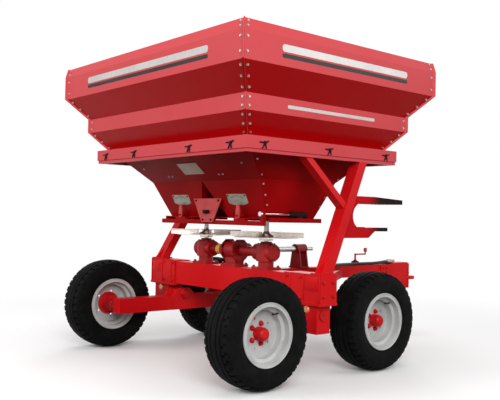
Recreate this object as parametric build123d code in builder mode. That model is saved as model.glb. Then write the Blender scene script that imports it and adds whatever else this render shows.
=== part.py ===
from build123d import *
import math
import os

os.makedirs("parts", exist_ok=True)

# A trailed twin-disc fertiliser spreader. Millimetres, +X to its right, +Y towards the hitch, +Z up.

# Running gear
track = 2024.0
wheel_base = 1187.0
tyre_d = 760.0
tyre_w = 264.0
shoulder_in = 13.0
shoulder_drop = 22.0
crown_t = 26.0
shoulder_t = 40.0
wall_t = 18.0
bead_gap = 0.5
bead_rise = 4.0
bead_toe = 14.0
bead_r = 195.5
rim_w = 234.0
rim_flange_r = 218.0
rim_wall = 6.0
rim_well_r = 170.0
rim_seat_w = 41.0
rim_slope = 8.0
rim_taper = 2.0
rim_bend = 3.0
wheel_disc_t = 10.0
stud_pcd = 140.0
stud_count = 5
stud_r = 8.0
stud_gap = 1.0
stud_end = 8.0
nut_r = 15.0
nut_h = 16.0
hand_hole_r = 9.0
hand_hole_pcd = 214.0
hub_flange_r = 96.0
hub_flange_t = 18.0
hub_cone = 26.0
hub_cone_rise = 8.0
hub_flange_step = 16.0
hub_barrel_r = 62.0
hub_pilot_r = 47.0
hub_inboard = 104.0
hub_outboard = 62.0
cap_length = 26.0
cap_step = 4.0
cap_draft = 2.0
cap_round = 10.0
bearing_r = 40.0
bearing_w = 24.0
axle_r = 25.0
rocker_inner_x = 690.0
rocker_w = 120.0
rocker_h = 124.0
rocker_wall = 8.0
rocker_overhang = 66.0
axle_boss_r = 48.0
axle_boss_l = 46.0
drain_r = 10.0
cheek_t = 8.0
cheek_half = 133.0
cheek_top_half = 52.0
pivot_z = 460.0
pivot_r = 30.0
pivot_tube_r = 50.0
pin_head_r = 42.0
pin_head_t = 10.0
pin_nut_r = 48.0
pin_nut_h = 30.0

# Chassis
beam_depth = 150.0
beam_h = 200.0
beam_top = 751.0
beam_wall = 8.0
sleeve_inner_x = 722.0
sleeve_outer_x = 1104.0
sleeve_wall = 8.0
sleeve_lip = 10.0
hanger_inner_x = 838.0
hanger_outer_x = 1057.0
hanger_depth = 136.0
hanger_bottom = 327.0
hanger_wall = 14.0
leg_w = 100.0
leg_d = 86.0
leg_wall = 6.0
leg_foot_x = 1051.0
leg_foot_y = 5.0
leg_top_x = 965.0
leg_top_y = 458.0
foot_plate_t = 10.0
foot_plate_w = 106.0
foot_plate_back = 80.0
gusset_t = 14.0
gusset_h = 96.0
gusset_inset = 4.0
gusset_bite = 2.0
brace_top_x = 962.0
brace_top_y = -120.0
brace_w = 78.0
brace_d = 70.0
brace_meet_z = 1235.0
drawbar_w = 100.0
drawbar_h = 110.0
drawbar_top = 716.0
drawbar_wall = 6.0
hitch_reach = 2440.0
head_plate_t = 12.0
head_start = 1850.0
head_front = 2296.0
head_top = 730.0
head_lap = 110.0
head_rise = 130.0
head_chamfer = 14.0
head_foot = 56.0
head_bottom = 469.0
tongue_plate_t = 16.0
tongue_plate_h = 150.0
tongue_z = 567.0
tongue_t = 32.0
tongue_w = 84.0
hitch_hole_r = 16.5
tongue_margin = 8.0
stay_w = 70.0
stay_h = 80.0
stay_wall = 6.0
stay_top = 690.0
stay_outer_x = 860.0
stay_meet_y = 1240.0

# Hopper
hopper_y = 62.0
corner_offset = 221.0
sheet_t = 4.0
top_half = 978.0
wall_half = 994.0
band_half = 842.0
rail_half = 708.0
top_z = 2431.5
bend_z = 2360.0
wall_z = 2166.0
band_top_z = 1990.0
band_low_z = 1874.0
rail_z = 1716.0
top_lip = 30.0
seat_flange = 55.0
corner_flange = 22.0
rail_out_x = 1020.5
rail_out_y = 790.5
rail_h = 87.0
rail_flange = 78.0
rail_t = 8.0
lip_h = 25.0
lip_w = 44.0
lip_inset = 8.0
throat_z = 1445.0
throat_x = 715.0
throat_y = 400.0
outlet_outer_x = 620.0
outlet_half_y = 260.0
floor_z = 1160.0

# Spreading drive
disc_x = 397.0
drive_y = 20.0
drive_z = 885.0
disc_z = 1004.0
disc_r = 258.0
disc_t = 5.0
disc_hub_r = 58.0
disc_hub_gap = 8.0
vane_count = 4
vane_root_r = 70.0
vane_tip_r = 310.0
vane_h = 42.0
vane_w = 34.0
vane_t = 3.0
vane_lag = 12.0
vane_start = 20.0
spindle_r = 20.0
spindle_top = 1240.0
agitator_half = 78.0
agitator_r = 9.0
cross_r = 18.0
input_r = 25.0
spline_r = 17.45
spline_l = 90.0
stand_y = 775.0
stand_l = 120.0
stand_half = 72.0
stand_plate_t = 12.0
stand_boss_r = 44.0
cross_gear_r = 42.0
spindle_gear_r = 28.0
mitre_gear_r = 40.0
gear_gap = 0.6
gear_back = 8.0
spindle_tip = 30.0
spindle_eye = 12.0
agitator_drop = 40.0
box_r = 78.0
box_low = 70.0
box_high = 65.0
box_cover_r = 66.0
box_in = 110.0
box_out = 95.0
box_neck_r = 46.0
box_neck_top = 970.0
box_foot_r = 62.0
box_floor_t = 15.0
box_roof_t = 10.0
box_cavity_r = 62.0
box_base_x = 190.0
box_base_y = 146.0
box_base_t = 18.0
centre_cavity_r = 66.0
centre_r = 76.0
centre_half = 82.0
centre_flange_r = 90.0
centre_flange_t = 16.0
centre_neck_r = 56.0
centre_neck_l = 150.0

# Dosing unit
floor_half_x = 690.0
floor_back = 215.0
floor_front = 340.0
floor_t = 8.0
rim_drop = 34.0
port_w = 140.0
port_back = 190.0
port_front = 108.0
gate_t = 8.0
gate_margin = 26.0
gate_arm = 140.0
gate_notch = 76.0
gate_travel = 80.0
gate_bar_y = 250.0
gate_bar_d = 30.0
gate_bar_h = 36.0
cylinder_x = 655.0
cylinder_z = 1188.0
cylinder_r = 24.0
cylinder_back = 30.0
cylinder_l = 170.0
rod_r = 10.0
rod_front = 64.0
console_y = 275.0
console_t = 8.0
console_top_half = 188.0
console_low_half = 75.0
console_top_z = 1307.0
console_low_z = 1116.0
scale_x = 375.0
scale_w = 235.0
scale_h = 92.0
scale_z = 1298.0
scale_t = 3.0
lever_x = 384.0
lever_pivot_z = 1172.0
lever_boss_l = 42.0
lever_lug_r = 14.0
lever_pin_r = 8.0
lever_t = 10.0
lever_l = 92.0
lever_w = 44.0
lever_heel = 10.0
console_tab = 30.0
rod_lug = 16.0
rod_head_r = 18.0
gate_lap = 10.0
notch_start = 8.0

# Jack, step and hose
jack_x = -95.0
jack_y = 1640.0
jack_tube_r = 37.0
jack_leg_r = 31.0
jack_wall = 6.0
jack_low = 320.0
jack_top = 748.0
jack_leg_top = 455.0
jack_foot = 170.0
jack_foot_t = 12.0
jack_nut_h = 20.0
jack_collar = 14.0
jack_bracket_low = 14.0
jack_bracket_high = 8.0
screw_r = 9.0
screw_low = 372.0
crank_z = 815.0
crank_arm = 150.0
crank_bar_r = 7.0
knob_r = 15.0
knob_h = 62.0
step_x = 972.0
step_t = 10.0
tread_w = 240.0
tread_t = 6.0
tread_lip = 30.0
step_high = 1343.0
step_slant = 18.0
step_mid = 1289.0
step_inner_z = 1200.0
step_low = 1100.0
step_low_edge = 1070.0
step_bottom = 1018.0
step_tip = 994.0
step_low_tip = 808.0
step_bend = 640.0
step_chamfer = 650.0
step_under = 577.0
step_bight = 392.0
step_upper = 480.0
step_lower = 446.0
step_root = 150.0
step_head = 330.0
hose_r = 12.0
hose_gap = 34.0
hose_port_x = 640.0
hose_port_z = 722.0
hose_bend_share = 0.45

# Fits
run_gap = 0.05
face_gap = 0.3
key_gap = 0.02
cut_over = 1.0

# Worked out
yc = (wheel_base / 2 + tyre_d / 2 - hitch_reach) / 2
wheel_z = tyre_d / 2
hy = yc + hopper_y
dy = yc + drive_y
sleeve_top = beam_top + sleeve_wall
beam_low = beam_top - beam_h
sleeve_low = beam_low - sleeve_wall
leg_low = sleeve_top + foot_plate_t
lip_z = rail_z - rail_h - lip_h
rocker_mid_x = rocker_inner_x + rocker_w / 2
rocker_outer_x = rocker_inner_x + rocker_w
sides = (("left", -1), ("right", 1))
ends = (("rear", -1), ("front", 1))
x_turn = (0, 90, 0)
y_turn = (-90, 0, 0)


def block(x0, x1, y0, y1, z0, z1, mode=Mode.ADD):
    with Locations(((x0 + x1) / 2, (y0 + y1) / 2, (z0 + z1) / 2)):
        Box(abs(x1 - x0), abs(y1 - y0), abs(z1 - z0), mode=mode)


def x_rod(x0, x1, y, z, r, mode=Mode.ADD):
    with Locations(Location(((x0 + x1) / 2, y, z), x_turn)):
        Cylinder(r, abs(x1 - x0), mode=mode)


def y_rod(x, y0, y1, z, r, mode=Mode.ADD):
    with Locations(Location((x, (y0 + y1) / 2, z), y_turn)):
        Cylinder(r, abs(y1 - y0), mode=mode)


def z_rod(x, y, z0, z1, r, mode=Mode.ADD):
    with Locations((x, y, (z0 + z1) / 2)):
        Cylinder(r, abs(z1 - z0), mode=mode)


def save(piece, name):
    piece.part.label = name
    export_step(piece.part, f"parts/{name}.step")


# Main beam across the chassis
with BuildPart() as main_beam:
    beam_half = sleeve_outer_x - sleeve_wall
    block(-beam_half, beam_half, yc - beam_depth / 2, yc + beam_depth / 2, beam_low, beam_top)
    block(-beam_half, beam_half, yc - beam_depth / 2 + beam_wall, yc + beam_depth / 2 - beam_wall,
          beam_low + beam_wall, beam_top - beam_wall, Mode.SUBTRACT)
save(main_beam, "main_beam")

# Sleeves over the beam's ends, each with the hanger that carries a rocker's pin
for side, s in sides:
    sleeve_half = beam_depth / 2 + sleeve_wall
    hang_half = hanger_depth / 2
    with BuildPart() as beam_end:
        block(s * sleeve_inner_x, s * sleeve_outer_x, yc - sleeve_half, yc + sleeve_half, sleeve_low,
              sleeve_top)
        block(s * sleeve_inner_x, s * sleeve_outer_x, yc - sleeve_half - sleeve_lip,
              yc + sleeve_half + sleeve_lip,
              sleeve_low - sleeve_lip, sleeve_low + sleeve_wall)
        block(s * sleeve_inner_x, s * (sleeve_outer_x - sleeve_wall), yc - beam_depth / 2,
              yc + beam_depth / 2,
              beam_low, beam_top, Mode.SUBTRACT)
        block(s * hanger_inner_x, s * hanger_outer_x, yc - hang_half, yc + hang_half,
              hanger_bottom, sleeve_low - sleeve_lip)
        block(s * (hanger_inner_x + hanger_wall), s * (hanger_outer_x - hanger_wall),
              yc - hang_half + hanger_wall,
              yc + hang_half - hanger_wall, hanger_bottom, sleeve_low - sleeve_lip - hanger_wall,
              Mode.SUBTRACT)
        x_rod(s * (hanger_inner_x - cut_over), s * (hanger_outer_x + cut_over), yc, pivot_z,
              pivot_r + run_gap, Mode.SUBTRACT)
    save(beam_end, f"beam_end_{side}")

# Pivot pins with a head outside and a nut inside
for side, s in sides:
    nut_x = rocker_inner_x - cheek_t - face_gap
    with BuildPart() as pivot_pin:
        x_rod(s * (nut_x - pin_nut_h - pin_head_t), s * hanger_outer_x, yc, pivot_z, pivot_r)
        x_rod(s * hanger_outer_x, s * (hanger_outer_x + pin_head_t), yc, pivot_z, pin_head_r)
        with BuildSketch(Plane((s * nut_x, yc, pivot_z), x_dir=(0, 1, 0), z_dir=(-s, 0, 0))):
            RegularPolygon(pin_nut_r, 6)
        extrude(amount=pin_nut_h)
    save(pivot_pin, f"pivot_pin_{side}")

# Rockers: walking beams with a pivot tube, cheek plates and two stub axles
for side, s in sides:
    y_end = wheel_base / 2 + rocker_overhang
    z_low = wheel_z - rocker_h / 2
    z_high = wheel_z + rocker_h / 2
    axle_tip = track / 2 + hub_outboard - cap_length
    with BuildPart() as rocker:
        block(s * rocker_inner_x, s * rocker_outer_x, yc - y_end, yc + y_end, z_low, z_high)
        for cheek_x in (rocker_inner_x - cheek_t, rocker_outer_x):
            with BuildSketch(Plane((s * cheek_x, yc, 0), x_dir=(0, 1, 0), z_dir=(1, 0, 0))):
                with BuildLine():
                    Polyline((-cheek_half, z_low), (cheek_half, z_low), (cheek_half, z_high),
                             (cheek_top_half, pivot_z + pivot_tube_r), (-cheek_top_half,
                             pivot_z + pivot_tube_r),
                             (-cheek_half, z_high), close=True)
                make_face()
            extrude(amount=s * cheek_t)
        x_rod(s * (rocker_inner_x - cheek_t), s * (hanger_inner_x - face_gap), yc, pivot_z, pivot_tube_r)
        block(s * (rocker_inner_x + rocker_wall), s * (rocker_outer_x - rocker_wall),
              yc - y_end + rocker_wall,
              yc + y_end - rocker_wall, z_low + rocker_wall, z_high - rocker_wall, Mode.SUBTRACT)
        for end, f in ends:
            y = yc + f * wheel_base / 2
            x_rod(s * rocker_inner_x, s * (rocker_outer_x + axle_boss_l), y, wheel_z, axle_boss_r)
            x_rod(s * rocker_outer_x, s * axle_tip, y, wheel_z, axle_r)
            z_rod(s * rocker_mid_x, yc + f * wheel_base / 4, z_low - cut_over,
                  z_low + rocker_wall + cut_over, drain_r,
                  Mode.SUBTRACT)
        x_rod(s * (rocker_inner_x - cheek_t), s * (rocker_outer_x + cheek_t), yc, pivot_z, pivot_tube_r)
        x_rod(s * (rocker_inner_x - cheek_t - cut_over), s * hanger_inner_x, yc, pivot_z,
              pivot_r + run_gap, Mode.SUBTRACT)
    save(rocker, f"rocker_{side}")

    with BuildPart() as bearings:
        for end, f in ends:
            y = yc + f * wheel_base / 2
            for a in (-hub_inboard + bearing_w, hub_outboard - cap_length - bearing_w):
                x0 = s * (track / 2 + a - bearing_w / 2)
                x1 = s * (track / 2 + a + bearing_w / 2)
                x_rod(x0, x1, y, wheel_z, bearing_r)
                x_rod(x0, x1, y, wheel_z, axle_r + run_gap, Mode.SUBTRACT)
    save(bearings, f"wheel_bearings_{side}")

# Wheels: tyre, rim and hub, drawn as axial and radial distances from the wheel's middle
for end, f in ends:
    for side, s in sides:
        tag = f"{end}_{side}"
        centre = (s * track / 2, yc + f * wheel_base / 2, wheel_z)
        radial = Plane(centre, x_dir=(s, 0, 0), z_dir=(0, -s, 0))
        face_on = Plane(centre, x_dir=(0, s, 0), z_dir=(s, 0, 0))
        spin = Axis(centre, (1, 0, 0))
        half_w = tyre_w / 2
        tread_r = tyre_d / 2
        lip = rim_w / 2
        seat = lip - rim_wall
        well = seat - rim_seat_w

        with BuildPart() as tyre:
            bead_in = bead_r + bead_gap
            bead_top = rim_flange_r + bead_rise
            toe = well + bead_toe
            bead_x = seat - face_gap
            crown_x = half_w - shoulder_in
            crown_r = tread_r - shoulder_drop
            inner_x = half_w - shoulder_t
            inner_r = tread_r - shoulder_t
            side_r = (rim_flange_r + tread_r) / 2
            with BuildSketch(radial):
                with BuildLine():
                    Line((-bead_x, bead_in), (-bead_x, bead_top))
                    ThreePointArc((-bead_x, bead_top), (-half_w, side_r - bead_rise), (-crown_x, crown_r))
                    ThreePointArc((-crown_x, crown_r), (0, tread_r), (crown_x, crown_r))
                    ThreePointArc((crown_x, crown_r), (half_w, side_r - bead_rise), (bead_x, bead_top))
                    Line((bead_x, bead_top), (bead_x, bead_in))
                    Line((bead_x, bead_in), (toe, bead_in))
                    ThreePointArc((toe, bead_in), (half_w - wall_t, side_r), (inner_x, inner_r))
                    ThreePointArc((inner_x, inner_r), (0, tread_r - crown_t), (-inner_x, inner_r))
                    ThreePointArc((-inner_x, inner_r), (-half_w + wall_t, side_r), (-toe, bead_in))
                    Line((-toe, bead_in), (-bead_x, bead_in))
                make_face()
            revolve(axis=spin)
        save(tyre, f"tyre_{tag}")

        with BuildPart() as rim:
            seat_in = bead_r - rim_taper
            floor_in = rim_well_r - rim_wall
            with BuildSketch(radial):
                with BuildLine():
                    Polyline((lip, rim_flange_r), (seat, rim_flange_r), (seat, bead_r), (well, seat_in),
                             (well - rim_slope, rim_well_r), (-well + rim_slope, rim_well_r), (-well,
                             seat_in),
                             (-seat, bead_r), (-seat, rim_flange_r), (-lip, rim_flange_r),
                             (-lip, bead_r - rim_wall), (-well - rim_bend, seat_in - rim_wall),
                             (-well + rim_slope - rim_bend, floor_in), (well - rim_slope + rim_bend,
                             floor_in),
                             (well + rim_bend, seat_in - rim_wall), (lip, bead_r - rim_wall), close=True)
                make_face()
            revolve(axis=spin)
            with BuildSketch(face_on):
                Circle(rim_well_r - rim_wall / 2)
                Circle(hub_pilot_r + face_gap, mode=Mode.SUBTRACT)
                with PolarLocations(stud_pcd / 2, stud_count):
                    Circle(stud_r + stud_gap, mode=Mode.SUBTRACT)
                with PolarLocations(hand_hole_pcd / 2, stud_count, start_angle=180 / stud_count):
                    Circle(hand_hole_r, mode=Mode.SUBTRACT)
            extrude(amount=wheel_disc_t)
        save(rim, f"rim_{tag}")

        with BuildPart() as hub:
            with BuildSketch(radial):
                with BuildLine():
                    cap_r = hub_pilot_r - cap_step
                    cap_end = hub_outboard + cap_length
                    Polyline((-hub_inboard, 0), (-hub_inboard, hub_barrel_r),
                             (-hub_flange_t - hub_cone, hub_barrel_r + hub_cone_rise),
                             (-hub_flange_t, hub_flange_r - hub_flange_step), (-hub_flange_t,
                             hub_flange_r),
                             (0, hub_flange_r), (0, hub_pilot_r), (hub_outboard, hub_pilot_r),
                             (hub_outboard, cap_r),
                             (cap_end - cap_round, cap_r - cap_draft), (cap_end,
                             cap_r - cap_draft - cap_round),
                             (cap_end, 0), close=True)
                make_face()
            revolve(axis=spin)
            x_rod(centre[0] - s * (hub_inboard + cut_over), centre[0] + s * (hub_outboard - face_gap),
                  centre[1], centre[2],
                  bearing_r + run_gap, Mode.SUBTRACT)
            with BuildSketch(face_on):
                with PolarLocations(stud_pcd / 2, stud_count):
                    Circle(stud_r)
            extrude(amount=wheel_disc_t + nut_h + stud_end)
            with BuildSketch(face_on.offset(wheel_disc_t)):
                with PolarLocations(stud_pcd / 2, stud_count):
                    RegularPolygon(nut_r, 6)
            extrude(amount=nut_h)
        save(hub, f"hub_{tag}")

# Legs from the beam's ends up to the hopper's rail, each on a foot plate with a rear gusset
for side, s in sides:
    with BuildPart() as leg:
        with BuildSketch(Plane.XY.offset(leg_low)):
            with Locations((s * leg_foot_x, yc + leg_foot_y)):
                Rectangle(leg_w, leg_d)
        with BuildSketch(Plane.XY.offset(lip_z)):
            with Locations((s * leg_top_x, yc + leg_top_y)):
                Rectangle(leg_w, leg_d)
        loft()
        with BuildSketch(Plane.XY.offset(leg_low)):
            with Locations((s * leg_foot_x, yc + leg_foot_y)):
                Rectangle(leg_w - 2 * leg_wall, leg_d - 2 * leg_wall)
        with BuildSketch(Plane.XY.offset(lip_z)):
            with Locations((s * leg_top_x, yc + leg_top_y)):
                Rectangle(leg_w - 2 * leg_wall, leg_d - 2 * leg_wall)
        loft(mode=Mode.SUBTRACT)
        block(s * (leg_foot_x - foot_plate_w / 2), s * (leg_foot_x + foot_plate_w / 2),
              yc - foot_plate_back,
              yc + beam_depth / 2, sleeve_top, leg_low)
        back = leg_foot_y - leg_d / 2
        lean = (leg_top_y - leg_foot_y) / (lip_z - leg_low)
        with BuildSketch(Plane((s * leg_foot_x, yc, 0), x_dir=(0, 1, 0), z_dir=(1, 0, 0))):
            with BuildLine():
                Polyline((-foot_plate_back + gusset_inset, leg_low), (back + gusset_bite, leg_low),
                         (back + gusset_h * lean + gusset_bite, leg_low + gusset_h), close=True)
            make_face()
        extrude(amount=gusset_t / 2, both=True)
    save(leg, f"leg_{side}")

    with BuildPart() as brace:
        meet = (brace_meet_z - leg_low) / (lip_z - leg_low)
        meet_x = leg_foot_x + (leg_top_x - leg_foot_x) * meet
        meet_y = leg_foot_y + (leg_top_y - leg_foot_y) * meet
        with BuildSketch(Plane.XY.offset(brace_meet_z)):
            with Locations((s * meet_x, yc + meet_y)):
                Rectangle(brace_w, brace_d)
        with BuildSketch(Plane.XY.offset(lip_z)):
            with Locations((s * brace_top_x, yc + brace_top_y)):
                Rectangle(brace_w, brace_d)
        loft()
        with BuildSketch(Plane.XY.offset(leg_low)):
            with Locations((s * leg_foot_x, yc + leg_foot_y)):
                Rectangle(2 * leg_w, leg_d)
        with BuildSketch(Plane.XY.offset(lip_z)):
            with Locations((s * leg_top_x, yc + leg_top_y)):
                Rectangle(2 * leg_w, leg_d)
        loft(mode=Mode.SUBTRACT)
    save(brace, f"brace_{side}")

# Rail ring under the hopper: a channel with mitred corners and a bar below it for the legs
with BuildPart() as hopper_rail:
    ring_low = rail_z - rail_h
    with BuildSketch(Plane.XY.offset(ring_low)):
        with Locations((0, hy)):
            Rectangle(2 * rail_out_x, 2 * rail_out_y)
            Rectangle(2 * (rail_out_x - rail_flange), 2 * (rail_out_y - rail_flange), mode=Mode.SUBTRACT)
    extrude(amount=rail_h)
    with BuildSketch(Plane.XY.offset(ring_low + rail_t)):
        with Locations((0, hy)):
            Rectangle(2 * (rail_out_x - rail_t), 2 * (rail_out_y - rail_t))
    extrude(amount=rail_h - 2 * rail_t, mode=Mode.SUBTRACT)
    with BuildSketch(Plane.XY.offset(lip_z)):
        with Locations((0, hy)):
            Rectangle(2 * (rail_out_x - lip_inset), 2 * (rail_out_y - lip_inset))
            Rectangle(2 * (rail_out_x - lip_inset - lip_w), 2 * (rail_out_y - lip_inset - lip_w),
                      mode=Mode.SUBTRACT)
    extrude(amount=lip_h)
save(hopper_rail, "hopper_rail")

# Hopper sides: folded sheets that meet on upright diagonal planes, with outward flanges at the corners
headings = (("rear", (0, -1, 0), 0.0), ("front", (0, 1, 0), 0.0),
            ("left", (-1, 0, 0), corner_offset), ("right", (1, 0, 0), corner_offset))
folds = ((top_half, top_z), (wall_half, bend_z), (wall_half, wall_z), (band_half, band_top_z),
         (band_half, band_low_z), (rail_half, rail_z))
for name, out, extra in headings:
    ox, oy, oz = out
    middle = (0, hy, 0)
    section = Plane(middle, x_dir=out, z_dir=(oy, -ox, 0))
    plan = Plane(middle, x_dir=out, z_dir=(0, 0, 1))
    grow = corner_offset if extra == 0 else -corner_offset
    reach = wall_half + extra + corner_flange
    core = rail_half / 2 + extra
    seat_rise = (band_half - rail_half) / (band_low_z - rail_z) * sheet_t
    outer = [(half + extra, z) for half, z in folds]
    inner = [(half + extra - sheet_t, z) for half, z in folds]
    with BuildPart() as panel:
        with BuildSketch(section):
            with BuildLine():
                Polyline((outer[0][0] - top_lip, top_z - sheet_t), (outer[0][0] - top_lip, top_z),
                         *outer[:-1],
                         (rail_half + extra + seat_rise, rail_z + sheet_t),
                         (rail_half + extra + seat_flange, rail_z + sheet_t),
                         (rail_half + extra + seat_flange, rail_z), *inner[:0:-1],
                         (inner[0][0], top_z - sheet_t), close=True)
            make_face()
        extrude(amount=reach + corner_offset, both=True)
        with BuildSketch(plan):
            with BuildLine():
                Polyline((core, -core - grow), (reach, -reach - grow), (reach, reach + grow), (core,
                         core + grow),
                         close=True)
            make_face()
        extrude(amount=top_z + cut_over, mode=Mode.INTERSECT)
        for e in (-1, 1):
            along = Vector(ox - e * oy, oy + e * ox, 0).normalized()
            inward = Vector(ox + e * oy, oy - e * ox, 0).normalized()
            start = Vector(0, hy, 0) + Vector(-oy, ox, 0) * (e * grow)
            corner = Plane(start, x_dir=along, z_dir=along.cross(Vector(0, 0, 1)))
            ridge = [(half * math.sqrt(2), z) for half, z in outer]
            with BuildSketch(corner):
                with BuildLine():
                    Polyline(*[(u - sheet_t, z) for u, z in ridge[:-1]],
                             (ridge[-1][0] - sheet_t, rail_z), (ridge[-1][0] + corner_flange, rail_z),
                             *[(u + corner_flange, z) for u, z in ridge[-2::-1]], close=True)
                make_face()
            extrude(amount=sheet_t, dir=inward)
    save(panel, f"hopper_{name}")

# Hopper base below the rail
with BuildPart() as hopper_base:
    for trim, mode in ((0.0, Mode.ADD), (sheet_t, Mode.SUBTRACT)):
        with BuildSketch(Plane.XY.offset(rail_z)):
            with Locations((0, hy)):
                Rectangle(2 * (rail_half + corner_offset - trim), 2 * (rail_half - trim))
        with BuildSketch(Plane.XY.offset(throat_z)):
            with Locations((0, hy)):
                Rectangle(2 * (throat_x - trim), 2 * (throat_y - trim))
        loft(mode=mode)
save(hopper_base, "hopper_base")

# Two funnels that part at a ridge on the middle line
outlet_inner_x = 2 * disc_x - outlet_outer_x
for side, s in sides:
    with BuildPart() as funnel:
        for trim, mode in ((0.0, Mode.ADD), (sheet_t, Mode.SUBTRACT)):
            with BuildSketch(Plane.XY.offset(throat_z)):
                with Locations((s * throat_x / 2, hy)):
                    Rectangle(throat_x - 2 * trim, 2 * (throat_y - trim))
            with BuildSketch(Plane.XY.offset(floor_z)):
                with Locations((s * disc_x, hy)):
                    Rectangle(outlet_outer_x - outlet_inner_x - 2 * trim, 2 * (outlet_half_y - trim))
            loft(mode=mode)
    save(funnel, f"funnel_{side}")

# Dosing floor with its ports, gate guides, lever lugs and console tabs
guide_half = port_w / 2 + gate_margin
gate_top = floor_z - floor_t - face_gap
with BuildPart() as dosing_floor:
    block(-floor_half_x, floor_half_x, yc - floor_back, yc + floor_front, floor_z - floor_t, floor_z)
    for s in (-1, 1):
        block(s * (floor_half_x - floor_t), s * floor_half_x, yc - floor_back, yc + floor_front,
              floor_z - rim_drop, floor_z)
        block(s * disc_x - port_w / 2, s * disc_x + port_w / 2, yc - port_back, yc - port_front,
              floor_z - floor_t - cut_over, floor_z + cut_over, Mode.SUBTRACT)
        z_rod(s * disc_x, dy, floor_z - floor_t - cut_over, floor_z + cut_over, spindle_r + spindle_eye,
              Mode.SUBTRACT)
        for g in (-1, 1):
            guide_x = s * disc_x + g * (guide_half + face_gap)
            block(guide_x, guide_x + g * floor_t, yc - floor_back, yc + floor_front / 2,
                  gate_top - gate_t - floor_t - face_gap, floor_z - floor_t)
            block(guide_x, guide_x - g * gate_margin / 2, yc - floor_back, yc + floor_front / 2,
                  gate_top - gate_t - floor_t - face_gap, gate_top - gate_t - face_gap)
        block(s * lever_x - lever_lug_r, s * lever_x + lever_lug_r, yc - floor_back - floor_t,
              yc - floor_back,
              floor_z - floor_t, lever_pivot_z + lever_lug_r)
        boss_y = yc - floor_back - floor_t
        y_rod(s * lever_x, boss_y, boss_y - lever_boss_l, lever_pivot_z, lever_lug_r)
        y_rod(s * lever_x, boss_y, boss_y - lever_boss_l - 2 * lever_t, lever_pivot_z, lever_pin_r)
        block(s * console_tab, s * console_low_half, yc - floor_back, yc - console_y + console_t / 2,
              floor_z - floor_t, floor_z)
    block(cylinder_x - rod_lug - floor_t, cylinder_x + rod_lug + floor_t / 2, yc - floor_back - cut_over,
          yc - gate_bar_y + gate_bar_d / 2 + gate_travel + floor_t, floor_z - floor_t - cut_over,
          floor_z + cut_over, Mode.SUBTRACT)
save(dosing_floor, "dosing_floor")

# Gate plates on one bar across the back
with BuildPart() as gates:
    bar_top = gate_top - gate_t - floor_t - 4 * face_gap
    bar_y = yc - gate_bar_y
    bar_half = floor_half_x - 2 * floor_t
    block(-bar_half, bar_half, bar_y - gate_bar_d / 2, bar_y + gate_bar_d / 2, bar_top - gate_bar_h,
          bar_top)
    for s in (-1, 1):
        plate_half = guide_half
        block(s * disc_x - plate_half, s * disc_x + plate_half, yc - port_back - gate_lap,
              yc - port_front + gate_arm,
              gate_top - gate_t, gate_top)
        block(s * disc_x - gate_notch / 2, s * disc_x + gate_notch / 2, yc - port_front + notch_start,
              yc - port_front + gate_arm, gate_top - gate_t, gate_top, Mode.SUBTRACT)
        strap_half = plate_half - gate_margin
        block(s * disc_x - strap_half, s * disc_x + strap_half, bar_y - gate_bar_d / 2, yc - port_back,
              gate_top - gate_t, gate_top)
        block(s * disc_x - strap_half, s * disc_x + strap_half, bar_y - gate_bar_d / 2,
              bar_y + gate_bar_d / 2,
              bar_top, gate_top)
    block(cylinder_x - rod_lug, cylinder_x + rod_lug, bar_y - gate_bar_d / 2, bar_y + gate_bar_d / 2,
          bar_top, cylinder_z + 2 * rod_r)
    y_rod(cylinder_x, bar_y - gate_bar_d, bar_y + gate_bar_d, cylinder_z, rod_r + run_gap, Mode.SUBTRACT)
save(gates, "gate_bar")

# Hydraulic cylinder that moves the gates, and its rod
with BuildPart() as gate_cylinder:
    barrel_y = yc + cylinder_back
    y_rod(cylinder_x, barrel_y, barrel_y + cylinder_l, cylinder_z, cylinder_r)
    block(cylinder_x - cylinder_r, cylinder_x + cylinder_r, barrel_y + cylinder_l / 3,
          barrel_y + cylinder_l * 2 / 3,
          floor_z, cylinder_z)
    y_rod(cylinder_x, barrel_y + floor_t, barrel_y + cylinder_l - floor_t, cylinder_z,
          cylinder_r - floor_t,
          Mode.SUBTRACT)
    y_rod(cylinder_x, barrel_y - cut_over, barrel_y + floor_t, cylinder_z, rod_r + run_gap, Mode.SUBTRACT)
save(gate_cylinder, "gate_cylinder")

with BuildPart() as gate_rod:
    y_rod(cylinder_x, bar_y - gate_bar_d, yc + rod_front, cylinder_z, rod_r)
    y_rod(cylinder_x, bar_y - gate_bar_d, bar_y - gate_bar_d / 2, cylinder_z, rod_head_r)
    y_rod(cylinder_x, yc + rod_front - floor_t, yc + rod_front, cylinder_z,
          cylinder_r - floor_t - face_gap)
save(gate_rod, "gate_rod")

# Hand levers that turn on the lugs and point at the scales
for side, s in sides:
    lever_y = yc - floor_back - floor_t - lever_boss_l - face_gap
    lever_face = Plane((s * lever_x, lever_y, lever_pivot_z), x_dir=(1, 0, 0), z_dir=(0, -1, 0))
    with BuildPart() as lever:
        with BuildSketch(lever_face):
            with BuildLine():
                Polyline((-lever_w / 2, -lever_heel), (-lever_w / 4, -lever_w / 2), (lever_w / 4,
                         -lever_w / 2),
                         (lever_w / 2, -lever_heel), (lever_w / 2, lever_l / 2), (lever_w / 5, lever_l),
                         (-lever_w / 5, lever_l),
                         (-lever_w / 2, lever_l / 2), close=True)
            make_face()
            Circle(lever_pin_r + run_gap, mode=Mode.SUBTRACT)
        extrude(amount=lever_t)
    save(lever, f"dosing_lever_{side}")

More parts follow.
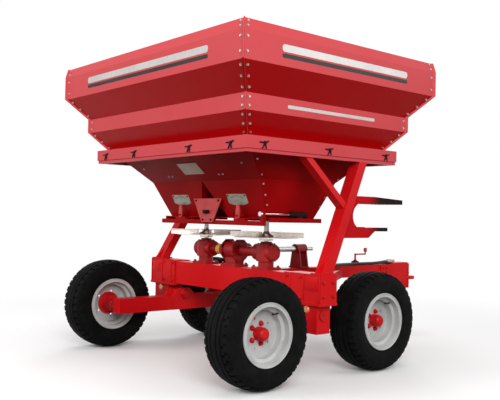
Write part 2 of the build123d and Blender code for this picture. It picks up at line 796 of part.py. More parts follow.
# Console plate and the two scales on the funnels' rear faces
with BuildPart() as dosing_plates:
    with BuildSketch(Plane((0, yc - console_y + console_t / 2, 0), x_dir=(1, 0, 0), z_dir=(0, -1, 0))):
        with BuildLine():
            Polyline((-console_low_half, console_low_z), (console_low_half, console_low_z),
                     (console_top_half, console_top_z), (-console_top_half, console_top_z), close=True)
        make_face()
    extrude(amount=console_t)
    fall = (throat_y - outlet_half_y) / (throat_z - floor_z)
    scale_y = hy - outlet_half_y - (scale_z - floor_z) * fall
    for s in (-1, 1):
        with BuildSketch(Plane((s * scale_x, scale_y, scale_z), x_dir=(1, 0, 0), z_dir=(0, -1, -fall))):
            with BuildLine():
                Polyline((-scale_w / 2, -scale_h / 3), (-scale_w / 4, -scale_h / 2), (scale_w / 4,
                         -scale_h / 2),
                         (scale_w / 2, -scale_h / 3), (scale_w / 2, scale_h / 2), (-scale_w / 2,
                         scale_h / 2), close=True)
            make_face()
        extrude(amount=scale_t)
save(dosing_plates, "dosing_plates")

# Disc gearboxes on the main beam
for side, s in sides:
    x = s * disc_x
    with BuildPart() as gearbox:
        block(x - box_base_x / 2, x + box_base_x / 2, dy - box_base_y / 2, dy + box_base_y / 2,
              beam_top, beam_top + box_base_t)
        z_rod(x, dy, beam_top + box_base_t / 2, drive_z - box_low, box_foot_r)
        z_rod(x, dy, drive_z - box_low, drive_z + box_high, box_r)
        z_rod(x, dy, drive_z + box_high, box_neck_top, box_neck_r)
        x_rod(x - s * box_in, x + s * box_out, dy, drive_z, box_cover_r)
        z_rod(x, dy, drive_z - box_low + box_floor_t, drive_z + box_high - box_roof_t, box_cavity_r,
              Mode.SUBTRACT)
        z_rod(x, dy, drive_z, box_neck_top + cut_over, spindle_r + run_gap, Mode.SUBTRACT)
        x_rod(x - s * (box_in + cut_over), x, dy, drive_z, cross_r + run_gap, Mode.SUBTRACT)
    save(gearbox, f"gearbox_{side}")

# Centre gearbox with its input neck to the front
with BuildPart() as centre_gearbox:
    block(-box_base_x / 2, box_base_x / 2, dy - box_base_y / 2, dy + box_base_y / 2, beam_top,
          beam_top + box_base_t)
    block(-box_base_x / 3, box_base_x / 3, dy - box_base_y / 3, dy + box_base_y / 3, beam_top, drive_z)
    x_rod(-centre_half, centre_half, dy, drive_z, centre_r)
    for s in (-1, 1):
        x_rod(s * (centre_half - centre_flange_t), s * centre_half, dy, drive_z, centre_flange_r)
    y_rod(0, dy, dy + centre_neck_l, drive_z, centre_neck_r)
    x_rod(-centre_half + centre_flange_t, centre_half - centre_flange_t, dy, drive_z, centre_cavity_r,
          Mode.SUBTRACT)
    x_rod(-centre_half - cut_over, centre_half + cut_over, dy, drive_z, cross_r + run_gap, Mode.SUBTRACT)
    y_rod(0, dy, dy + centre_neck_l + cut_over, drive_z, input_r + run_gap, Mode.SUBTRACT)
save(centre_gearbox, "centre_gearbox")

# Cross shaft with its three bevel gears, turned about its own axis
with BuildPart() as cross_shaft:
    big = cross_gear_r - gear_gap
    big_x = disc_x - spindle_gear_r
    mitre = mitre_gear_r - gear_gap
    half_profile = [(big_x - gear_back, cross_r), (big_x - gear_back, big), (big_x, big),
                    (big_x + spindle_gear_r / 2, big - cross_gear_r / 2), (big_x + spindle_gear_r / 2, 0)]
    with BuildSketch(Plane((0, dy, drive_z), x_dir=(1, 0, 0), z_dir=(0, -1, 0))):
        with BuildLine():
            Polyline(*[(-x, r) for x, r in half_profile[::-1]], (mitre_gear_r / 2, cross_r),
                     (mitre_gear_r / 2, mitre - mitre_gear_r / 2), (mitre_gear_r, mitre),
                     (mitre_gear_r + gear_back, mitre), (mitre_gear_r + gear_back, cross_r),
                     *half_profile, close=True)
        make_face()
    revolve(axis=Axis((0, dy, drive_z), (1, 0, 0)))
save(cross_shaft, "cross_shaft")

# Input shaft with its bevel pinion and a free end for a drive shaft
with BuildPart() as input_shaft:
    stand_front = stand_y + stand_l / 2 - drive_y
    with BuildSketch(Plane((0, dy, drive_z), x_dir=(0, 1, 0), z_dir=(1, 0, 0))):
        with BuildLine():
            Polyline((mitre_gear_r / 2, 0), (mitre_gear_r / 2, mitre - mitre_gear_r / 2), (mitre_gear_r,
                     mitre),
                     (mitre_gear_r + gear_back, mitre), (mitre_gear_r + gear_back, input_r),
                     (stand_front + gear_back, input_r), (stand_front + gear_back, spline_r),
                     (stand_front + gear_back + spline_l, spline_r), (stand_front + gear_back + spline_l,
                     0), close=True)
        make_face()
    revolve(axis=Axis((0, dy, drive_z), (0, 1, 0)))
save(input_shaft, "input_shaft")

# Bearing stand for the input shaft, on the drawbar
with BuildPart() as shaft_stand:
    y0 = yc + stand_y - stand_l / 2
    y1 = yc + stand_y + stand_l / 2
    block(-stand_half, stand_half, y0, y1, drawbar_top, drawbar_top + stand_plate_t)
    for y in (y0 + stand_plate_t, y1 - 2 * stand_plate_t):
        with BuildSketch(Plane((0, y, 0), x_dir=(1, 0, 0), z_dir=(0, -1, 0))):
            with BuildLine():
                Polyline((-stand_half, drawbar_top + stand_plate_t), (stand_half,
                         drawbar_top + stand_plate_t),
                         (stand_boss_r, drive_z), (-stand_boss_r, drive_z), close=True)
            make_face()
        extrude(amount=-stand_plate_t)
    y_rod(0, y0, y1, drive_z, stand_boss_r)
    y_rod(0, y0 - 1, y1 + 1, drive_z, input_r + run_gap, Mode.SUBTRACT)
save(shaft_stand, "shaft_stand")

# Spindles, discs and vanes
disc_low = disc_z - disc_t / 2
disc_top = disc_z + disc_t / 2
for side, s in sides:
    x = s * disc_x
    with BuildPart() as spindle:
        small = spindle_gear_r - gear_gap
        gear_low = drive_z + cross_gear_r / 2
        gear_high = drive_z + cross_gear_r
        with BuildSketch(Plane((x, dy, 0), x_dir=(1, 0, 0), z_dir=(0, -1, 0))):
            with BuildLine():
                Polyline((0, gear_low), (small - spindle_gear_r / 2, gear_low), (small, gear_high),
                         (small, gear_high + gear_back), (spindle_r, gear_high + gear_back),
                         (spindle_r, spindle_top - spindle_tip), (spindle_r * 0.6, spindle_top), (0,
                         spindle_top), close=True)
            make_face()
        revolve(axis=Axis((x, dy, 0), (0, 0, 1)))
        x_rod(x - agitator_half, x + agitator_half, dy, spindle_top - agitator_drop, agitator_r)
    save(spindle, f"spindle_{side}")

    with BuildPart() as disc:
        z_rod(x, dy, disc_low, disc_top, disc_r)
        z_rod(x, dy, box_neck_top + disc_hub_gap, disc_low, disc_hub_r)
        z_rod(x, dy, box_neck_top, disc_top + cut_over, spindle_r + key_gap, Mode.SUBTRACT)
    save(disc, f"disc_{side}")

    with BuildPart() as vanes:
        for k in range(vane_count):
            around = math.radians(360 / vane_count * k + vane_start)
            lean = around + math.radians(vane_lag)
            root = (x + s * vane_root_r * math.cos(around), dy + vane_root_r * math.sin(around), disc_top)
            tangent = (s * math.sin(lean), -math.cos(lean), 0)
            forward = (s * math.cos(lean), math.sin(lean), 0)
            channel = Plane(root, x_dir=tangent, z_dir=forward)
            up = 1 if channel.y_dir.Z > 0 else -1
            with BuildSketch(channel):
                with BuildLine():
                    Polyline((0, 0), (vane_w, 0), (vane_w, up * vane_t), (vane_t, up * vane_t),
                             (vane_t, up * (vane_h - vane_t)), (vane_w, up * (vane_h - vane_t)), (vane_w,
                             up * vane_h),
                             (0, up * vane_h), close=True)
                make_face()
            extrude(amount=vane_tip_r - vane_root_r)
    save(vanes, f"vanes_{side}")

# Drawbar with its head, and two stays from the beam's ends
with BuildPart() as drawbar:
    bar_back = yc + beam_depth / 2
    bar_low = drawbar_top - drawbar_h
    half = drawbar_w / 2
    head_tail = head_start + head_lap
    block(-half, half, bar_back, yc + head_tail, bar_low, drawbar_top)
    block(-half + drawbar_wall, half - drawbar_wall, bar_back, yc + head_tail, bar_low + drawbar_wall,
          drawbar_top - drawbar_wall, Mode.SUBTRACT)
    for s in (-1, 1):
        with BuildSketch(Plane((s * half, yc, 0), x_dir=(0, 1, 0), z_dir=(1, 0, 0))):
            with BuildLine():
                Polyline((head_start, bar_low), (head_start, drawbar_top), (head_tail, drawbar_top),
                         (head_tail + head_rise, head_top), (head_front - 2 * head_chamfer, head_top),
                         (head_front, head_top - head_chamfer), (head_front, head_bottom),
                         (head_front - head_foot, head_bottom), (head_tail, bar_low), close=True)
            make_face()
        extrude(amount=s * head_plate_t)
    block(-half, half, yc + head_front - head_plate_t, yc + head_front, head_bottom,
          head_top - head_chamfer)
    block(-half, half, yc + head_tail + head_rise, yc + head_front - head_plate_t,
          head_top - head_plate_t, head_top)
save(drawbar, "drawbar")

with BuildPart() as drawbar_stays:
    stay_y = beam_depth / 2 + sleeve_wall
    run_x = stay_outer_x - drawbar_w / 2
    run_y = stay_meet_y - stay_y
    run = math.hypot(run_x, run_y)
    for trim, mode in ((0.0, Mode.ADD), (stay_wall, Mode.SUBTRACT)):
        half_x = (stay_w / 2 - trim) * run / run_y
        half_y = (stay_w / 2 - trim) * run / run_x
        for s in (-1, 1):
            with BuildSketch(Plane((0, yc, stay_top - stay_h + trim))):
                with BuildLine():
                    Polyline((s * (stay_outer_x - half_x), stay_y), (s * (stay_outer_x + half_x), stay_y),
                             (s * drawbar_w / 2, stay_meet_y + half_y), (s * drawbar_w / 2,
                             stay_meet_y - half_y),
                             close=True)
                make_face()
            extrude(amount=stay_h - 2 * trim, mode=mode)
save(drawbar_stays, "drawbar_stays")

# Hitch tongue on the head
with BuildPart() as hitch_tongue:
    plate_half = tongue_w / 2 + tongue_margin
    plate_front = head_front + tongue_plate_t
    tip = hitch_reach - tongue_w / 2
    block(-plate_half, plate_half, yc + head_front, yc + plate_front, tongue_z - tongue_plate_h / 2,
          tongue_z + tongue_plate_h / 2)
    with BuildSketch(Plane((0, yc, tongue_z - tongue_t / 2))):
        with Locations((0, (plate_front + tip) / 2)):
            Rectangle(tongue_w, tip - plate_front)
        with Locations((0, tip)):
            Circle(tongue_w / 2)
            Circle(hitch_hole_r, mode=Mode.SUBTRACT)
    extrude(amount=tongue_t)
save(hitch_tongue, "hitch_tongue")

# Jack beside the drawbar: fixed tube, sliding leg and crank
jy = yc + jack_y
with BuildPart() as jack_tube:
    z_rod(jack_x, jy, jack_low, jack_top, jack_tube_r)
    block(jack_x + jack_leg_r, -drawbar_w / 2, jy - jack_tube_r, jy + jack_tube_r,
          drawbar_top - drawbar_h + jack_bracket_low,
          drawbar_top - jack_bracket_high)
    z_rod(jack_x, jy, jack_low - cut_over, jack_top - jack_wall, jack_leg_r + run_gap, Mode.SUBTRACT)
    z_rod(jack_x, jy, jack_top - jack_wall - cut_over, jack_top + cut_over, screw_r + run_gap,
          Mode.SUBTRACT)
save(jack_tube, "jack_tube")

with BuildPart() as jack_leg:
    block(jack_x - jack_foot / 2, jack_x + jack_foot / 2, jy - jack_foot / 2, jy + jack_foot / 2, 0,
          jack_foot_t)
    z_rod(jack_x, jy, jack_foot_t, jack_leg_top, jack_leg_r)
    z_rod(jack_x, jy, 2 * jack_foot_t, jack_leg_top - jack_nut_h, jack_leg_r - jack_wall, Mode.SUBTRACT)
    z_rod(jack_x, jy, jack_leg_top - jack_nut_h - cut_over, jack_leg_top + cut_over, screw_r + face_gap,
          Mode.SUBTRACT)
save(jack_leg, "jack_leg")

with BuildPart() as jack_crank:
    z_rod(jack_x, jy, screw_low, crank_z + screw_r, screw_r)
    z_rod(jack_x, jy, jack_top + face_gap, jack_top + jack_collar, 2 * screw_r)
    y_rod(jack_x, jy, jy + crank_arm, crank_z, crank_bar_r)
    z_rod(jack_x, jy + crank_arm, crank_z - crank_bar_r, crank_z + knob_h, crank_bar_r)
    z_rod(jack_x, jy + crank_arm, crank_z + knob_h / 2, crank_z + knob_h, knob_r)
save(jack_crank, "jack_crank")

# Access step on the right leg: a C-shaped plate with two treads
with BuildPart() as access_step:
    with BuildSketch(Plane((step_x - step_t / 2, yc, 0), x_dir=(0, 1, 0), z_dir=(1, 0, 0))):
        with BuildLine():
            Polyline((step_lower, step_low), (step_low_tip, step_low), (step_low_tip, step_low_edge),
                     (step_chamfer, step_low_edge), (step_under, step_bottom), (step_root, step_bottom),
                     (step_head, step_high), (step_bend, step_high), (step_tip, step_high - step_slant),
                     (step_tip, step_mid), (step_upper, step_mid))
            ThreePointArc((step_upper, step_mid), (step_bight, step_inner_z), (step_lower, step_low))
        make_face()
    extrude(amount=step_t)
    for y0, y1, z in ((step_upper, step_tip, step_mid), (step_lower, step_low_tip, step_low_edge)):
        block(step_x - tread_w, step_x, yc + y0, yc + y1, z, z + tread_t)
        block(step_x - tread_w, step_x - tread_w + tread_t, yc + y0, yc + y1, z, z + tread_lip)
    with BuildSketch(Plane.XY.offset(leg_low)):
        with Locations((leg_foot_x, yc + leg_foot_y)):
            Rectangle(2 * leg_w, leg_d)
    with BuildSketch(Plane.XY.offset(lip_z)):
        with Locations((leg_top_x, yc + leg_top_y)):
            Rectangle(2 * leg_w, leg_d)
    loft(mode=Mode.SUBTRACT)
save(access_step, "access_step")

# Two hydraulic hoses from the beam, along the right stay and on top of the drawbar to the head
hose_z = stay_top + hose_r + face_gap
hose_bar_z = drawbar_top + hose_r + face_gap
hose_points = ((hose_port_x, beam_depth / 2, hose_port_z), (hose_port_x, 190, hose_port_z), (596, 330,
               hose_z + 8), (520, 470, hose_z + 3),
               (400, 640, hose_z + 2), (285, 800, hose_z + 3), (175, 950, hose_z + 4), (92, 1090,
               hose_bar_z),
               (36, 1250, hose_bar_z + 3), (14, 1430, hose_bar_z + 1), (-4, 1620, hose_bar_z + 2),
               (8, 1800, hose_bar_z + 1), (2, 1950, hose_bar_z + 8), (0, 2080, head_top + hose_r + 6))
with BuildPart() as hoses:
    for shift in (-hose_gap / 2, hose_gap / 2):
        route = [Vector(px + shift, yc + py, pz) for px, py, pz in hose_points]
        radii = []
        for before, here, after in zip(route, route[1:], route[2:]):
            turn = math.radians((here - before).get_angle(after - here))
            shorter = min((here - before).length, (after - here).length)
            radii.append(hose_bend_share * shorter / math.tan(turn / 2))
        with BuildLine() as hose_line:
            FilletPolyline(*route, radius=radii)
        with BuildSketch(Plane(route[0], z_dir=route[1] - route[0])):
            Circle(hose_r)
        sweep(path=hose_line.line)
        hose_length = sum(edge.length for edge in hose_line.edges())
        print("hose length", round(hose_length), "bend radii", [round(r) for r in radii])
print("hoses' volume", round(hoses.part.volume), "section times length",
      round(2 * math.pi * hose_r ** 2 * hose_length))
save(hoses, "hydraulic_hoses")
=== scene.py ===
import bpy
import bmesh
import math
import random
from mathutils import Matrix, Vector


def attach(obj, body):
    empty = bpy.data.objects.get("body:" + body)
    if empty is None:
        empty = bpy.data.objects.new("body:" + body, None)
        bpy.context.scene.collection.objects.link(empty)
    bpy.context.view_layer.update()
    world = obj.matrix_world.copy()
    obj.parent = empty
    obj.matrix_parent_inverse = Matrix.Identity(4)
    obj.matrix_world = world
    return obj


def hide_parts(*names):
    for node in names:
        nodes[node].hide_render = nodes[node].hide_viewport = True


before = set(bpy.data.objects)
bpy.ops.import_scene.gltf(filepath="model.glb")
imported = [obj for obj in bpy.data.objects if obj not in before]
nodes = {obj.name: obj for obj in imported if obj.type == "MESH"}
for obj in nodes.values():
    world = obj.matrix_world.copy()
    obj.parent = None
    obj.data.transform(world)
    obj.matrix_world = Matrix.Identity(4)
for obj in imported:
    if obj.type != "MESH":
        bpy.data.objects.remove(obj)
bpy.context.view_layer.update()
random.seed(7)
print("frame loaded:", len(nodes), "nodes")

midY = -0.73325  # the wheels' middle
hopperY = midY + 0.062
driveY = midY + 0.020
sides = (("left", -1), ("right", 1))


# Materials

def newMaterial(name):
    mat = bpy.data.materials.new(name)
    mat.use_nodes = True
    tree = mat.node_tree
    shader = tree.nodes["Principled BSDF"]
    coords = tree.nodes.new("ShaderNodeTexCoord")
    return mat, tree, shader, coords


def noiseNode(tree, coords, scale, detail=4.0, stretch=(1, 1, 1)):
    place = tree.nodes.new("ShaderNodeMapping")
    place.inputs["Scale"].default_value = stretch
    tree.links.new(coords.outputs["Object"], place.inputs["Vector"])
    noise = tree.nodes.new("ShaderNodeTexNoise")
    noise.inputs["Scale"].default_value = scale
    noise.inputs["Detail"].default_value = detail
    tree.links.new(place.outputs["Vector"], noise.inputs["Vector"])
    return noise


def rampNode(tree, source, stops):
    ramp = tree.nodes.new("ShaderNodeValToRGB")
    while len(ramp.color_ramp.elements) < len(stops):
        ramp.color_ramp.elements.new(0.5)
    for element, (place, colour) in zip(ramp.color_ramp.elements, stops):
        element.position = place
        element.color = (*colour, 1)
    tree.links.new(source, ramp.inputs["Fac"])
    return ramp


def rangeNode(tree, source, low, high):
    change = tree.nodes.new("ShaderNodeMapRange")
    change.inputs["To Min"].default_value = low
    change.inputs["To Max"].default_value = high
    tree.links.new(source, change.inputs["Value"])
    return change


def addBump(tree, shader, source, distance, strength=0.35):
    bump = tree.nodes.new("ShaderNodeBump")
    bump.inputs["Strength"].default_value = strength
    bump.inputs["Distance"].default_value = distance
    tree.links.new(source, bump.inputs["Height"])
    tree.links.new(bump.outputs["Normal"], shader.inputs["Normal"])


def addWear(tree, shader, coords, scale, rough, fine, bumpDepth, stretch=(1, 1, 1), detail=6.0):
    wear = noiseNode(tree, coords, scale, detail, stretch)
    worn = rangeNode(tree, wear.outputs["Fac"], *rough)
    tree.links.new(worn.outputs["Result"], shader.inputs["Roughness"])
    grain = noiseNode(tree, coords, fine, 3.0, stretch)
    addBump(tree, shader, grain.outputs["Fac"], bumpDepth)


def surface(name, tones, broad, rough, fine, bumpDepth, metallic=0.0, coat=0.0, stretch=(1, 1, 1),
            shine=0.5):
    mat, tree, shader, coords = newMaterial(name)
    clouds = noiseNode(tree, coords, broad, 5.0, stretch)
    step = 0.5 / (len(tones) - 1)
    stops = [(0.28 + step * k, tone) for k, tone in enumerate(tones)]  # where most of the noise lies
    colour = rampNode(tree, clouds.outputs["Fac"], stops)
    tree.links.new(colour.outputs["Color"], shader.inputs["Base Color"])
    addWear(tree, shader, coords, broad * 3.7, rough, fine, bumpDepth, stretch)
    shader.inputs["Metallic"].default_value = metallic
    shader.inputs["Specular IOR Level"].default_value = shine
    shader.inputs["Coat Weight"].default_value = coat
    shader.inputs["Coat Roughness"].default_value = 0.12
    return mat


finish = dict(
    redEnamel=surface("redEnamel", [(0.56, 0.004, 0.007), (0.64, 0.007, 0.010), (0.70, 0.012, 0.014)],
                      2.2, (0.30, 0.46), 420, 0.0004, coat=0.02, shine=0.08),
    redCasting=surface("redCasting", [(0.44, 0.004, 0.006), (0.56, 0.008, 0.010), (0.66, 0.014, 0.014)],
                       9.0, (0.36, 0.58), 160, 0.0012, coat=0.03, shine=0.14),
    # painted shade: a darker copy of the cast red for the gearboxes and drive parts under the hopper
    shadedDriveRed=surface("shadedDriveRed", [(0.24, 0.002, 0.004), (0.34, 0.004, 0.006), (0.44, 0.008, 0.009)],
                     11.0, (0.34, 0.56), 160, 0.0012, coat=0.05, shine=0.25),
    # painted shade: a darker copy of the red paint for the base, funnel, dosing floor, gate bar and cross
    # shaft under the hopper
    shadedFunnelRed=surface("shadedFunnelRed", [(0.28, 0.001, 0.002), (0.35, 0.002, 0.003), (0.42, 0.004, 0.005)],
                      3.0, (0.38, 0.56), 300, 0.0005, shine=0.06),
    rimEnamel=surface("rimEnamel", [(0.38, 0.39, 0.38), (0.48, 0.49, 0.48), (0.56, 0.56, 0.55)],
                      7.0, (0.34, 0.52), 380, 0.0005, coat=0.2),
    tyreRubber=surface("tyreRubber", [(0.002, 0.002, 0.002), (0.004, 0.004, 0.004), (0.008, 0.0078, 0.0075)],
                       14.0, (0.60, 0.85), 520, 0.0010, shine=0.06),
    turnedSteel=surface("turnedSteel", [(0.36, 0.36, 0.36), (0.48, 0.48, 0.47), (0.58, 0.57, 0.55)],
                        18.0, (0.28, 0.46), 240, 0.0003, metallic=1.0),
    stainlessSheet=surface("stainlessSheet", [(0.58, 0.52, 0.47), (0.68, 0.61, 0.55), (0.76, 0.68, 0.62)],
                           12.0, (0.24, 0.42), 300, 0.0003, metallic=1.0, stretch=(1, 6, 1)),
    chromeRod=surface("chromeRod", [(0.66, 0.66, 0.68), (0.74, 0.74, 0.76), (0.80, 0.80, 0.82)],
                      20.0, (0.06, 0.16), 400, 0.0001, metallic=1.0),
    zincBolt=surface("zincBolt", [(0.30, 0.28, 0.25), (0.42, 0.40, 0.37), (0.52, 0.50, 0.47)],
                     60.0, (0.32, 0.52), 500, 0.0003, metallic=1.0),
    hoseRubber=surface("hoseRubber", [(0.012, 0.012, 0.012), (0.020, 0.020, 0.020), (0.030, 0.029, 0.028)],
                       25.0, (0.46, 0.66), 600, 0.0006, shine=0.25),
    darkSatin=surface("darkSatin", [(0.012, 0.006, 0.006), (0.022, 0.010, 0.010), (0.035, 0.015, 0.014)],
                      9.0, (0.48, 0.68), 350, 0.0006, shine=0.07),
    blankPlate=surface("blankPlate", [(0.46, 0.34, 0.24), (0.52, 0.39, 0.28), (0.58, 0.44, 0.32)],
                       16.0, (0.30, 0.45), 500, 0.0002, metallic=0.1),
    scalePlate=surface("scalePlate", [(0.26, 0.24, 0.19), (0.34, 0.32, 0.26), (0.40, 0.38, 0.31)],
                       20.0, (0.36, 0.52), 450, 0.0003, metallic=0.5),
    # painted sheen: a pale pinkish copy of the red paint, for the console, dosing lever and crank grip
    sheenRed=surface("sheenRed", [(0.50, 0.045, 0.045), (0.57, 0.060, 0.060), (0.63, 0.085, 0.080)],
                     10.0, (0.34, 0.50), 380, 0.0004, coat=0.05, shine=0.2),
    orangeLens=surface("orangeLens", [(0.62, 0.16, 0.03), (0.72, 0.22, 0.05), (0.80, 0.30, 0.08)],
                       30.0, (0.12, 0.24), 900, 0.0008, coat=0.8),
    yellowGuard=surface("yellowGuard", [(0.62, 0.32, 0.03), (0.72, 0.42, 0.05), (0.80, 0.50, 0.08)],
                        22.0, (0.38, 0.55), 420, 0.0005),
    paleFilm=surface("paleFilm", [(0.50, 0.48, 0.46), (0.56, 0.54, 0.52), (0.62, 0.60, 0.57)],
                     5.0, (0.22, 0.34), 700, 0.0001, coat=0.4),
    blackFilm=surface("blackFilm", [(0.010, 0.010, 0.011), (0.016, 0.016, 0.017), (0.024, 0.024, 0.025)],
                      5.0, (0.30, 0.42), 700, 0.0001, coat=0.05, shine=0.15),
    weldRed=surface("weldRed", [(0.38, 0.006, 0.008), (0.48, 0.010, 0.012), (0.56, 0.016, 0.016)],
                    40.0, (0.36, 0.54), 260, 0.0008, coat=0.03, shine=0.14),
)


def stepPaint(name, red, black, redTo, shadeFrom):  # red carrier; painted shade darkens the outer treads to near black
    mat, tree, shader, coords = newMaterial(name)
    split = tree.nodes.new("ShaderNodeSeparateXYZ")
    tree.links.new(coords.outputs["Object"], split.inputs["Vector"])
    along = rangeNode(tree, split.outputs["Y"], 0.0, 1.0)
    along.inputs["From Min"].default_value = redTo
    along.inputs["From Max"].default_value = shadeFrom
    # painted shade: red towards the carrier, near black towards the outer tread ends, along Y
    colour = rampNode(tree, along.outputs["Result"], [(0.0, red), (1.0, black)])
    tree.links.new(colour.outputs["Color"], shader.inputs["Base Color"])
    addWear(tree, shader, coords, 30.0, (0.45, 0.65), 350.0, 0.0006, detail=4.0)
    shader.inputs["Specular IOR Level"].default_value = 0.07
    return mat


def sheenShadePaint(name, shadeTone, sheenTone):  # painted sheen, pinkish, on the faces not turned down; painted shade, deep red, on the undersides
    mat, tree, shader, coords = newMaterial(name)
    split = tree.nodes.new("ShaderNodeSeparateXYZ")
    tree.links.new(coords.outputs["Normal"], split.inputs["Vector"])
    # painted shade on the faces turned down, painted sheen on the rest
    facing = rangeNode(tree, split.outputs["Z"], 0.0, 1.0)
    facing.inputs["From Min"].default_value = -0.35
    facing.inputs["From Max"].default_value = -0.10
    clouds = noiseNode(tree, coords, 2.2, 5.0)
    patchy = rangeNode(tree, clouds.outputs["Fac"], 0.80, 1.15)
    mixed = tree.nodes.new("ShaderNodeMath")
    mixed.operation = "MULTIPLY"
    mixed.use_clamp = True
    tree.links.new(facing.outputs["Result"], mixed.inputs[0])
    tree.links.new(patchy.outputs["Result"], mixed.inputs[1])
    colour = rampNode(tree, mixed.outputs["Value"], [(0.0, shadeTone), (1.0, sheenTone)])
    tree.links.new(colour.outputs["Color"], shader.inputs["Base Color"])
    addWear(tree, shader, coords, 8.0, (0.30, 0.46), 420.0, 0.0004)
    shader.inputs["Specular IOR Level"].default_value = 0.08
    return mat


# hopper walls: painted shade on the undersides, painted sheen on the other faces
finish["hopperSheenShadeRed"] = sheenShadePaint("hopperSheenShadeRed", (0.46, 0.001, 0.002), (0.63, 0.072, 0.082))
# treads with painted shade towards their outer ends
finish["stepRedShaded"] = stepPaint("stepRedShaded", (0.52, 0.004, 0.007), (0.012, 0.004, 0.004),
                              midY + 0.56, midY + 0.70)
print("finishes made:", len(finish))

nodeFinish = {  # the starts of the names of the nodes in each finish; the rest are red enamel
    "tyreRubber": ["tyre_"],
    "rimEnamel": ["rim_"],
    "redCasting": ["hub_", "jack_crank", "pivot_pin"],
    "shadedDriveRed": ["gearbox_", "centre_gearbox", "shaft_stand"],
    "turnedSteel": ["wheel_bearings", "spindle_", "input_shaft", "jack_leg"],
    "stainlessSheet": ["disc_", "vanes_"],
    "chromeRod": ["gate_rod"],
    "hoseRubber": ["hydraulic_hoses"],
    "stepRedShaded": ["access_step"],
    "hopperSheenShadeRed": ["hopper_rear", "hopper_front", "hopper_left", "hopper_right", "hopper_rail"],
    "darkSatin": ["gate_cylinder", "jack_tube"],
    "sheenRed": ["dosing_lever", "dosing_plates"],
    "shadedFunnelRed": ["hopper_base", "funnel_", "dosing_floor", "gate_bar", "cross_shaft"],
}
for nodeName, node in nodes.items():
    chosen = "redEnamel"
    for finishName, starts in nodeFinish.items():
        if any(nodeName.startswith(start) for start in starts):
            chosen = finishName
    node.data.materials.clear()
    node.data.materials.append(finish[chosen])
print("CAD nodes painted")


# Mesh helpers

def addPiece(name, bm, mat, body, smoothAngle=35, merge=0.00002):
    bmesh.ops.remove_doubles(bm, verts=bm.verts, dist=merge)
    bmesh.ops.recalc_face_normals(bm, faces=bm.faces)
    mesh = bpy.data.meshes.new(name)
    bm.to_mesh(mesh)
    bm.free()
    mesh.polygons.foreach_set("use_smooth", [True] * len(mesh.polygons))
    mesh.set_sharp_from_angle(angle=math.radians(smoothAngle))
    mesh.materials.append(finish[mat])
    piece = bpy.data.objects.new(name, mesh)
    bpy.context.scene.collection.objects.link(piece)
    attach(piece, body)
    return piece


def turnTo(direction):
    return Vector((0, 0, 1)).rotation_difference(Vector(direction)).to_matrix().to_4x4()


def addDrum(bm, place, direction, r1, r2, depth, segments=24):
    centre = Vector(place) + Vector(direction).normalized() * depth / 2
    bmesh.ops.create_cone(bm, cap_ends=True, segments=segments, radius1=r1, radius2=r2, depth=depth,
                          matrix=Matrix.Translation(centre) @ turnTo(direction))


def addBlock(bm, low, high, edge=0.0, segments=2):
    low, high = Vector(low), Vector(high)
    scale = Matrix.Diagonal((*[abs(b - a) for a, b in zip(low, high)], 1))
    made = bmesh.ops.create_cube(bm, size=1, matrix=Matrix.Translation((low + high) / 2) @ scale)
    if edge:
        edges = list({e for v in made["verts"] for e in v.link_edges})
        bmesh.ops.bevel(bm, geom=edges, offset=edge, affect="EDGES", segments=segments, profile=0.5,
                        material=-1)


boltSizes = dict(sheet=(0.011, 0.007), seam=(0.012, 0.008), scale=(0.010, 0.006), console=(0.013, 0.009),
                 cover=(0.013, 0.010), lid=(0.012, 0.009), foot=(0.019, 0.014), plate=(0.019, 0.013),
                 flange=(0.014, 0.010), tongue=(0.024, 0.016))  # across the flats, and height


def addBolt(bm, place, direction, across, height, washer=1.45):
    out = Vector(direction).normalized()
    addDrum(bm, place, out, across * 0.5 * washer, across * 0.5 * washer * 0.97, height * 0.22, 18)
    base = Vector(place) + out * height * 0.22
    addDrum(bm, base, out, across * 0.577, across * 0.577, height * 0.66, 6)
    addDrum(bm, base + out * height * 0.66, out, across * 0.52, across * 0.40, height * 0.12, 6)


def addSpun(bm, profile, centre, axis, steps):
    axis = Vector(axis).normalized()
    turn = Vector((0, 0, 1)).rotation_difference(axis).to_matrix()
    ring = [bm.verts.new(Vector(centre) + turn @ Vector((r, 0, a))) for a, r in profile]
    edges = [bm.edges.new((ring[k], ring[k + 1])) for k in range(len(ring) - 1)]
    bmesh.ops.spin(bm, geom=ring + edges, cent=centre, axis=axis, angle=2 * math.pi, steps=steps,
                   use_merge=True)


def addBead(bm, start, end, size, pitch=0.011):
    start, end = Vector(start), Vector(end)
    run = end - start
    count = max(2, int(run.length / pitch))
    lie = Matrix.Diagonal((1, 1, 0.75, 1))
    for k in range(count + 1):
        place = start + run * (k / count)
        grow = size * random.uniform(0.86, 1.1)
        bmesh.ops.create_icosphere(bm, subdivisions=1, radius=grow,
                                   matrix=Matrix.Translation(place) @ turnTo(run) @ lie)


# Camera at the photograph's angle

view = dict(place=(4.73386, -4.57205, 1.16624), yaw=49.69, pitch=1.31, roll=1.19, lens=52.41)
yaw, pitch, roll = (math.radians(view[k]) for k in ("yaw", "pitch", "roll"))
ahead = Vector((-math.sin(yaw) * math.cos(pitch), math.cos(yaw) * math.cos(pitch), math.sin(pitch)))
right = Vector((math.cos(yaw), math.sin(yaw), 0))
above = right.cross(ahead)
tilted = right * math.cos(roll) + above * math.sin(roll)
upright = above * math.cos(roll) - right * math.sin(roll)
cameraData = bpy.data.cameras.new("photoCamera")
cameraData.sensor_fit = "HORIZONTAL"
cameraData.sensor_width = 36
cameraData.lens = view["lens"]
cameraData.clip_end = 200
camera = bpy.data.objects.new("photoCamera", cameraData)
bpy.context.scene.collection.objects.link(camera)
aim = Matrix((tilted, upright, -ahead)).transposed().to_4x4()
camera.matrix_world = Matrix.Translation(view["place"]) @ aim
bpy.context.scene.camera = camera


# Studio: pale floor, soft lamps and a white world behind

